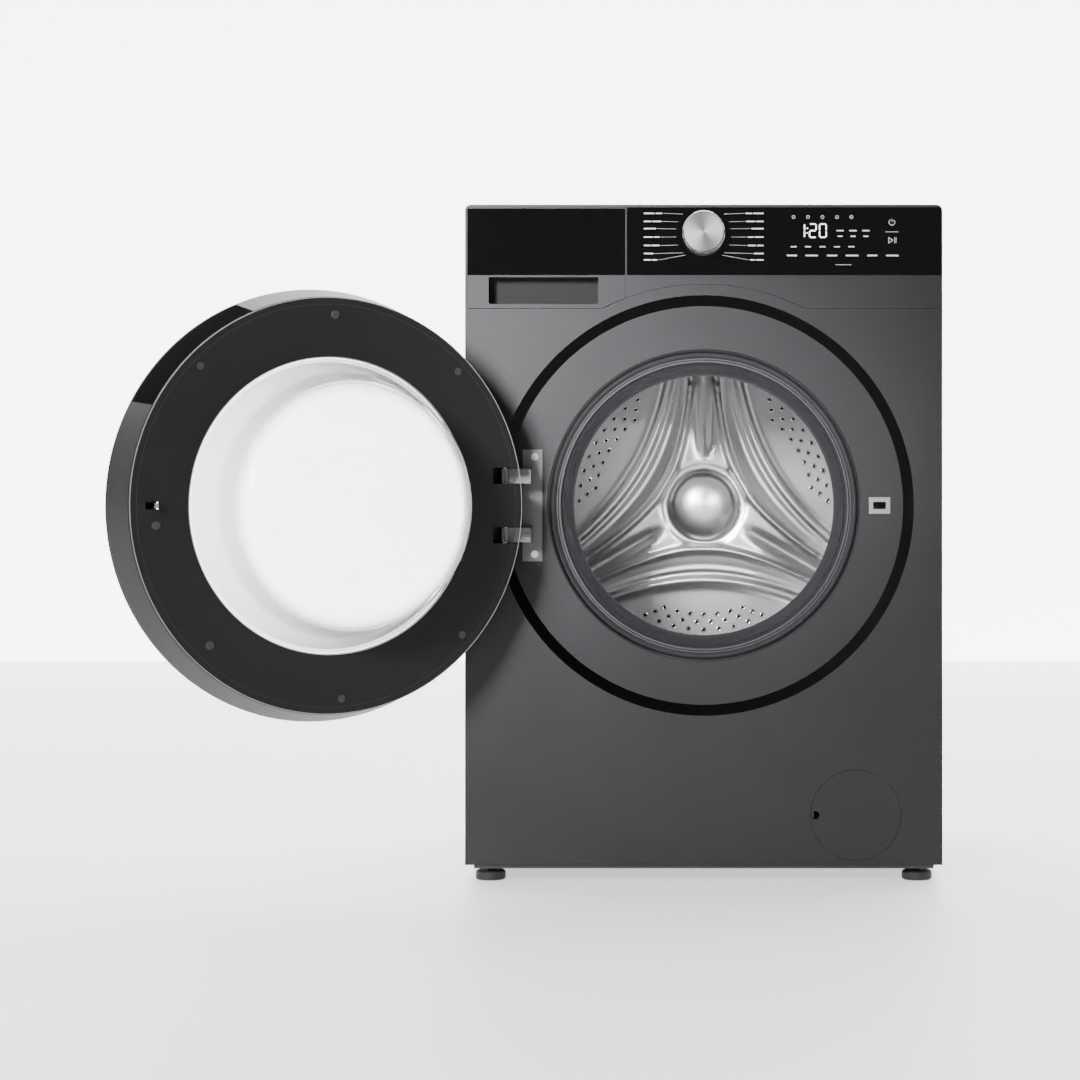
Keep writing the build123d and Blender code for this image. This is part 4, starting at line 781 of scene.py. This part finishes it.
@dataclass
class ControlPanel:
    """Printed marks with a faint painted glow, display and programme knob on the gloss black panel."""

    shop: Shop
    thick: float = 0.0002
    knob_z: float = 0.809
    rows: Sequence[float] = (0.834, 0.824, 0.815, 0.8045, 0.794, 0.784, 0.776)
    words: Sequence[Sequence[float]] = (
        (0.013, 0.008), (0.009, 0.011), (0.015,), (0.011, 0.007), (0.008, 0.010), (0.012,), (0.009, 0.006),
    )
    touch_x: Sequence[float] = (0.110, 0.1345, 0.160, 0.185, 0.210, 0.235)
    face_y: float = field(default=0.0)
    marks: list = field(default_factory=list)

    def build(self) -> None:
        """Dresses the panel and prints it, the print glowing faintly as painted light."""
        self.face_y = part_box("control_glass")[0][1]
        self.shop.dress_nodes(GLOSS_BLACK, "control_glass")
        self.shop.dress_nodes(BOARD, "control_board")
        self.programmes()
        self.symbols()
        self.shop.give(Bench.join("panel_print", self.marks), PRINT_WITH_PAINTED_GLOW, Body.CABINET, "gloss_black")
        self.marks = []
        self.digits()
        self.shop.give(Bench.join("display_digits", self.marks), LIT, Body.CABINET, "gloss_black")
        self.knob()

    def bar(self, x: float, z: float, wide: float, high: float) -> None:
        """One flat mark, by its middle."""
        size = (wide, self.thick, high)
        self.marks.append(Bench.slab("mark", size, (x, self.face_y - self.thick / 2, z)))

    def line(self, x0: float, z0: float, x1: float, z1: float, wide: float = 0.0005) -> None:
        """One straight thin line between two places."""
        long = math.hypot(x1 - x0, z1 - z0)
        stroke = Bench.slab("stroke", (long, self.thick, wide), (0.0, 0.0, 0.0))
        middle = Vector(((x0 + x1) / 2, self.face_y - self.thick / 2, (z0 + z1) / 2))
        turn = Matrix.Rotation(-math.atan2(z1 - z0, x1 - x0), 4, "Y")
        stroke.matrix_world = Matrix.Translation(middle) @ turn
        self.marks.append(Bench.settle(stroke))

    def arc(self, x: float, z: float, r: float, start: float, sweep: float, steps: int = 14) -> None:
        """A thin arc made of short lines, with angles in degrees from +X."""
        turns = [math.radians(start + sweep * i / steps) for i in range(steps + 1)]
        ends = [(x + r * math.cos(t), z + r * math.sin(t)) for t in turns]
        for (x0, z0), (x1, z1) in zip(ends, ends[1:]):
            self.line(x0, z0, x1, z1)

    def programmes(self) -> None:
        """Two columns of word bars, each joined to the knob by a leader line."""
        for side in (-1.0, 1.0):
            for z, widths in zip(self.rows, self.words):
                edge = side * 0.0745
                for wide in widths:
                    self.bar(edge - side * wide / 2, z, wide, 0.0015)
                    edge -= side * (wide + 0.0016)
                reach = 0.0305
                drop = max(-0.024, min(0.024, (z - self.knob_z) * 0.86))
                inner = side * math.sqrt(reach * reach - drop * drop)
                self.line(edge, z, inner + side * 0.004, self.knob_z + drop * 1.12, 0.00028)

    def symbols(self) -> None:
        """Touch labels, power and start signs, and the small signs round the display."""
        for i, x in enumerate(self.touch_x):
            self.bar(x, 0.7815, 0.0125 + 0.003 * (i % 2), 0.0016)
        self.arc(0.2345, 0.823, 0.0036, 125.0, 290.0)
        self.line(0.2345, 0.8235, 0.2345, 0.8275)
        self.bar(0.2345, 0.811, 0.016, 0.0004)
        for x0, z0, x1, z1 in ((0.2305, 0.797, 0.2305, 0.8042), (0.2305, 0.8042, 0.2358, 0.8006),
                               (0.2358, 0.8006, 0.2305, 0.797), (0.2378, 0.797, 0.2378, 0.8042),
                               (0.2396, 0.797, 0.2396, 0.8042)):
            self.line(x0, z0, x1, z1)
        for i in range(5):
            self.arc(0.112 + 0.018 * i, 0.8295, 0.0019, 0.0, 360.0, 10)
            self.bar(0.112 + 0.018 * i, 0.7925, 0.0075, 0.0012)
        for i in range(3):
            self.bar(0.170 + 0.016 * i, 0.8125, 0.009, 0.0014)
            self.bar(0.170 + 0.016 * i, 0.8055, 0.006, 0.0014)
        self.bar(0.174, 0.770, 0.020, 0.0004)

    def digits(self) -> None:
        """A lit time of one hour twenty in seven segment digits."""
        tall, wide, stroke = 0.0165, 0.0082, 0.0015
        z = 0.8125
        cells = {
            "top": (0.0, tall / 2, True), "middle": (0.0, 0.0, True), "bottom": (0.0, -tall / 2, True),
            "upper_left": (-wide / 2, tall / 4, False), "upper_right": (wide / 2, tall / 4, False),
            "lower_left": (-wide / 2, -tall / 4, False), "lower_right": (wide / 2, -tall / 4, False),
        }
        shown = (
            (0.1215, ("upper_right", "lower_right")),
            (0.1360, ("top", "upper_right", "middle", "lower_left", "bottom")),
            (0.1485, ("top", "upper_left", "upper_right", "lower_left", "lower_right", "bottom")),
        )
        for x, lit in shown:
            for name in lit:
                dx, dz, flat = cells[name]
                size = (wide - stroke, stroke) if flat else (stroke, tall / 2 - stroke)
                self.bar(x + dx, z + dz, *size)
        for dz in (-0.003, 0.003):
            self.bar(0.1292, z + dz, stroke, stroke)

    def knob(self) -> None:
        """Programme knob: bright skirt, dark groove and brushed face with painted highlight wedges."""
        low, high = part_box("program_knob")
        r = (high[0] - low[0]) / 2
        front, back = low[1], high[1]
        centre = (0.0, 0.0, (low[2] + high[2]) / 2)
        skirt = [
            (0.004, back), (r - 0.0015, back), (r, back - 0.002), (r, back - 0.005),
            (r - 0.001, front + 0.004),
            (r - 0.0012, front + 0.0008), (r - 0.0019, front), (r - 0.0026, front + 0.0005),
            (r - 0.003, front + 0.0016), (0.004, front + 0.0016),
        ]
        ring = Bench.lathe("knob_skirt", skirt, centre)
        self.shop.give(ring, CHROME, Body.KNOB, "knob_metal", ["program_knob"])
        face = [(0.0, front + 0.0004), (r - 0.0038, front + 0.0004), (r - 0.0032, front + 0.001),
                (r - 0.0032, front + 0.0016), (0.0, front + 0.0016)]
        # The face's brushed grain carries painted highlight wedges in its colour.
        brushed_and_painted_highlight = SpunFinish("knob_face", centre, (0.4, 0.4, 0.41), 0.28)
        self.shop.give(Bench.lathe("knob_face", face, centre, closed=False), brushed_and_painted_highlight, Body.KNOB, "knob_metal")


@dataclass
class Drawer:
    """Detergent drawer."""

    shop: Shop
    pocket_x: Point = (-0.2676, -0.1319)
    pocket_z: Point = (0.7214, 0.7541)
    pocket_depth: float = 0.026

    def build(self) -> None:
        """Dresses the drawer and puts dark sheets in its grip pocket as painted shade."""
        self.shop.dress_nodes(GLOSS_BLACK, "drawer_inlay")
        self.shop.dress_nodes(WHITE_PLASTIC, "drawer_tray")
        self.shop.dress_nodes(BLACK_PLASTIC, "dispenser_housing")
        size = (self.pocket_x[1] - self.pocket_x[0], 0.0004, self.pocket_z[1] - self.pocket_z[0])
        place = (sum(self.pocket_x) / 2, FRONT_Y + self.pocket_depth - 0.0006, sum(self.pocket_z) / 2)
        # Painted shade: a dark sheet at the back of the grip pocket and a thin dark ledge at its lower edge.
        back = Bench.slab("grip_pocket_shade_sheet", size, place)
        self.shop.give(back, MATTE_BLACK, Body.DRAWER, "black_plastic")
        lip_place = (place[0], FRONT_Y + 0.012, self.pocket_z[0])
        lip = Bench.slab("grip_pocket_shade_lip", (size[0], 0.005, 0.0004), lip_place)
        self.shop.give(lip, DARK_TRIM, Body.DRAWER, "black_plastic")


@dataclass
class Door:
    """Round porthole door, made shut and swung to its open rest place."""

    shop: Shop
    disc_r: float = 0.2475
    glass_r: float = 0.1755

    def ring(self, name: str, r: float, y: float, wide: float, high: float, finish, slot: str) -> None:
        """A thin raised ring on the door's back.

        Args:
            name: the piece's name.
            r: its middle radius.
            y: the plane that it stands on, with the door shut.
            wide: its width along the radius.
            high: how far it stands out.
            finish: its finish.
            slot: the record's material slot.
        """
        a, b = r - wide / 2, r + wide / 2
        outline = [(a, y - 0.0003), (a, y + high * 0.6), (r, y + high), (b, y + high * 0.6), (b, y - 0.0003)]
        made = Bench.lathe(name, outline, steps=220)
        made.matrix_world = Bench.opened() @ made.matrix_world
        self.shop.give(Bench.settle(made), finish, Body.DOOR, slot)

    def build(self) -> None:
        """Dresses the door and adds its edge lines."""
        shop = self.shop
        shop.dress_nodes(MATTE_BLACK, "door_rim", "door_frame")
        shop.dress_nodes(CLEAR_WINDOW, "door_window")
        shop.dress_nodes(BOWL_GLASS, "glass_bowl")
        shop.dress_nodes(FOOT_RUBBER, "door_bumpers")
        shop.dress_nodes(BLACK_PLASTIC, "door_fasteners")
        shop.dress_nodes(CHROME, "latch_hook", "hinge_pins")
        shop.dress_nodes(CAST, "door_hinge_knuckles")
        shop.dress_nodes(STEEL_PLATE, "hinge_bracket")
        shop.dress_nodes(ZINC, "hinge_screws")
        # Painted highlight: a thin grey ring on the black disc marks its bright edge.
        self.ring("disc_edge_highlight", self.disc_r - 0.0006, DISC_Y, 0.0009, 0.0002, GREY_PLASTIC, "black_plastic")
        self.ring("glass_edge", self.glass_r + 0.0008, DISC_Y, 0.0012, 0.0004, ZINC, "black_plastic")
        self.ring("disc_groove", self.disc_r - 0.0085, DISC_Y, 0.0006, 0.00015, HOLE, "black_plastic")


@dataclass
class Inside:
    """Everything behind the panels."""

    shop: Shop
    coils: int = 9
    wire: float = 0.0016

    def build(self) -> None:
        """Dresses the works and winds the springs."""
        shop = self.shop
        shop.dress_nodes(WHITE_PLASTIC, "inlet_valve", "pump_housing", "pump_impeller")
        shop.dress_nodes(RUBBER, "fill_hose", "sump_hose", "drive_belt")
        shop.dress_nodes(GREY_PLASTIC, "tub_front_half", "tub_rear_half", "pump_filter")
        shop.dress_nodes(CONCRETE, "counterweights")
        shop.dress_nodes(CHROME, "heater", "drum_bearings", "motor_pulley")
        shop.dress_nodes(MOTOR_PAINT, "motor_body")
        self.springs()

    def springs(self) -> None:
        """Two coil springs that stretch between the cabinet's bars and the tub."""
        low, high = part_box("suspension_springs")
        tall = high[2] - low[2]
        outer = (high[1] - low[1]) / 2
        middle_y = (low[1] + high[1]) / 2
        coils = []
        for x in (low[0] + outer, high[0] - outer):
            Bench.clear()
            bpy.ops.mesh.primitive_circle_add(
                vertices=10,
                radius=self.wire,
                location=(outer - self.wire, 0, 0),
                rotation=(math.pi / 2, 0, 0),
            )
            coil = Bench.settle(Bench.named("coil"))
            wound = coil.modifiers.new("coil", "SCREW")
            wound.axis = "Z"
            wound.steps = 24
            wound.render_steps = 24
            wound.iterations = self.coils
            wound.screw_offset = (tall - 2 * self.wire) / self.coils
            bpy.ops.object.modifier_apply(modifier=wound.name)
            bpy.ops.object.mode_set(mode="EDIT")
            bpy.ops.mesh.select_all(action="SELECT")
            bpy.ops.mesh.remove_doubles(threshold=1e-6)
            bpy.ops.mesh.select_all(action="DESELECT")
            bpy.ops.mesh.select_non_manifold()
            bpy.ops.mesh.edge_face_add()
            bpy.ops.mesh.select_all(action="SELECT")
            bpy.ops.mesh.normals_make_consistent(inside=False)
            bpy.ops.object.mode_set(mode="OBJECT")
            coil.matrix_world = Matrix.Translation((x, middle_y, low[2] + self.wire))
            coils.append(Bench.settle(coil))
        made = Bench.join("suspension_coils", coils)
        Bench.smooth(made, 50.0)
        self.shop.dress(made, ZINC)
        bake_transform(made)
        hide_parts("suspension_springs")
        LOG.info("built %s", made.name)


@dataclass
class Studio:
    """Pale floor and backdrop, soft light and the camera."""

    shop: Shop
    reach: float = 9.0
    floor_reach: float = 40.0
    lens: float = 101.65
    view_z: float = 0.475
    middle: Point = (-0.204, 0.427)
    width: float = 1.3458

    def build(self) -> None:
        """Makes the stage."""
        self.floor()
        self.beam("key", (-1.35, -3.4, 1.38), 1200.0, 0.66, 0.42)
        self.light("side", (-3.2, -0.4, 1.4), 1.8, 3.0)
        self.light("top", (0.0, 0.4, 3.4), 2.4, 60.0)
        self.beam("drum_beam_left", (-0.9, -3.2, 1.5), 210.0, 0.155, 0.16)
        self.beam("drum_beam_right", (0.9, -3.4, 1.0), 210.0, 0.155, 0.16)
        self.world()
        self.camera()

    def floor(self) -> None:
        """A pale floor and a bright backdrop."""
        Bench.clear()
        bpy.ops.mesh.primitive_plane_add(size=2 * self.floor_reach, location=(0, 0, 0))
        floor = Bench.named("floor")
        self.shop.dress(floor, GlowFinish("floor_white", (0.92, 0.92, 0.92), 1.0))
        Bench.clear()
        upright = (math.pi / 2, 0, 0)
        bpy.ops.mesh.primitive_plane_add(size=2 * self.reach, location=(0, 5.0, 3.0), rotation=upright)
        wall = Bench.named("backdrop")
        self.shop.dress(wall, GlowFinish("backdrop_white", (1.0, 1.0, 1.0), 6.0))

    def light(self, name: str, place: tuple[float, float, float], size: float, power: float) -> None:
        """A soft square light aimed at the object's middle."""
        Bench.clear()
        aim = Vector((-0.1, 0.0, 0.45)) - Vector(place)
        turn = aim.to_track_quat("-Z", "Y").to_euler()
        bpy.ops.object.light_add(type="AREA", location=place, rotation=turn)
        lamp = bpy.context.object
        lamp.name = name
        lamp.data.size = size
        lamp.data.energy = power

    def beam(
        self, name: str, place: tuple[float, float, float], power: float, wide: float, soft: float
    ) -> None:
        """A soft beam aimed at the porthole.

        Args:
            name: the lamp's name.
            place: where it stands.
            power: its power in watts.
            wide: radius that it lights at the porthole.
            soft: radius of the lamp.
        """
        Bench.clear()
        aim = Vector((0.0, 0.0, AXIS_Z)) - Vector(place)
        turn = aim.to_track_quat("-Z", "Y").to_euler()
        bpy.ops.object.light_add(type="SPOT", location=place, rotation=turn)
        lamp = bpy.context.object
        lamp.name = name
        lamp.data.energy = power
        lamp.data.spot_size = 2.0 * math.atan(wide / aim.length)
        lamp.data.spot_blend = 0.25
        lamp.data.shadow_soft_size = soft

    def world(self) -> None:
        """Even pale surroundings."""
        scene = bpy.context.scene
        scene.world = bpy.data.worlds.new("surroundings")
        scene.world.use_nodes = True
        shade = scene.world.node_tree.nodes["Background"]
        shade.inputs["Color"].default_value = (0.9, 0.93, 1.0, 1.0)
        shade.inputs["Strength"].default_value = 0.16

    def camera(self) -> None:
        """A level camera in line with the machine's middle, shifted to take in the open door."""
        Bench.clear()
        place = (0.0, FRONT_Y - CAMERA_GAP, self.view_z)
        bpy.ops.object.camera_add(location=place, rotation=(math.pi / 2, 0.0, 0.0))
        camera = bpy.context.object
        camera.name = "camera"
        camera.data.sensor_width = 36.0
        camera.data.lens = self.lens
        camera.data.shift_x = self.middle[0] / self.width
        camera.data.shift_y = (self.middle[1] - self.view_z) / self.width
        bpy.context.scene.camera = camera


def main() -> None:
    """Builds every sub-assembly, then the stage."""
    logging.basicConfig(level=logging.INFO, format="%(message)s")
    shop = Shop()
    for part in (Shell, Porthole, Drum, ControlPanel, Drawer, Door, Inside, Studio):
        part(shop).build()
        LOG.info("%s finished", part.__name__)


if __name__ == "__main__":
    main()
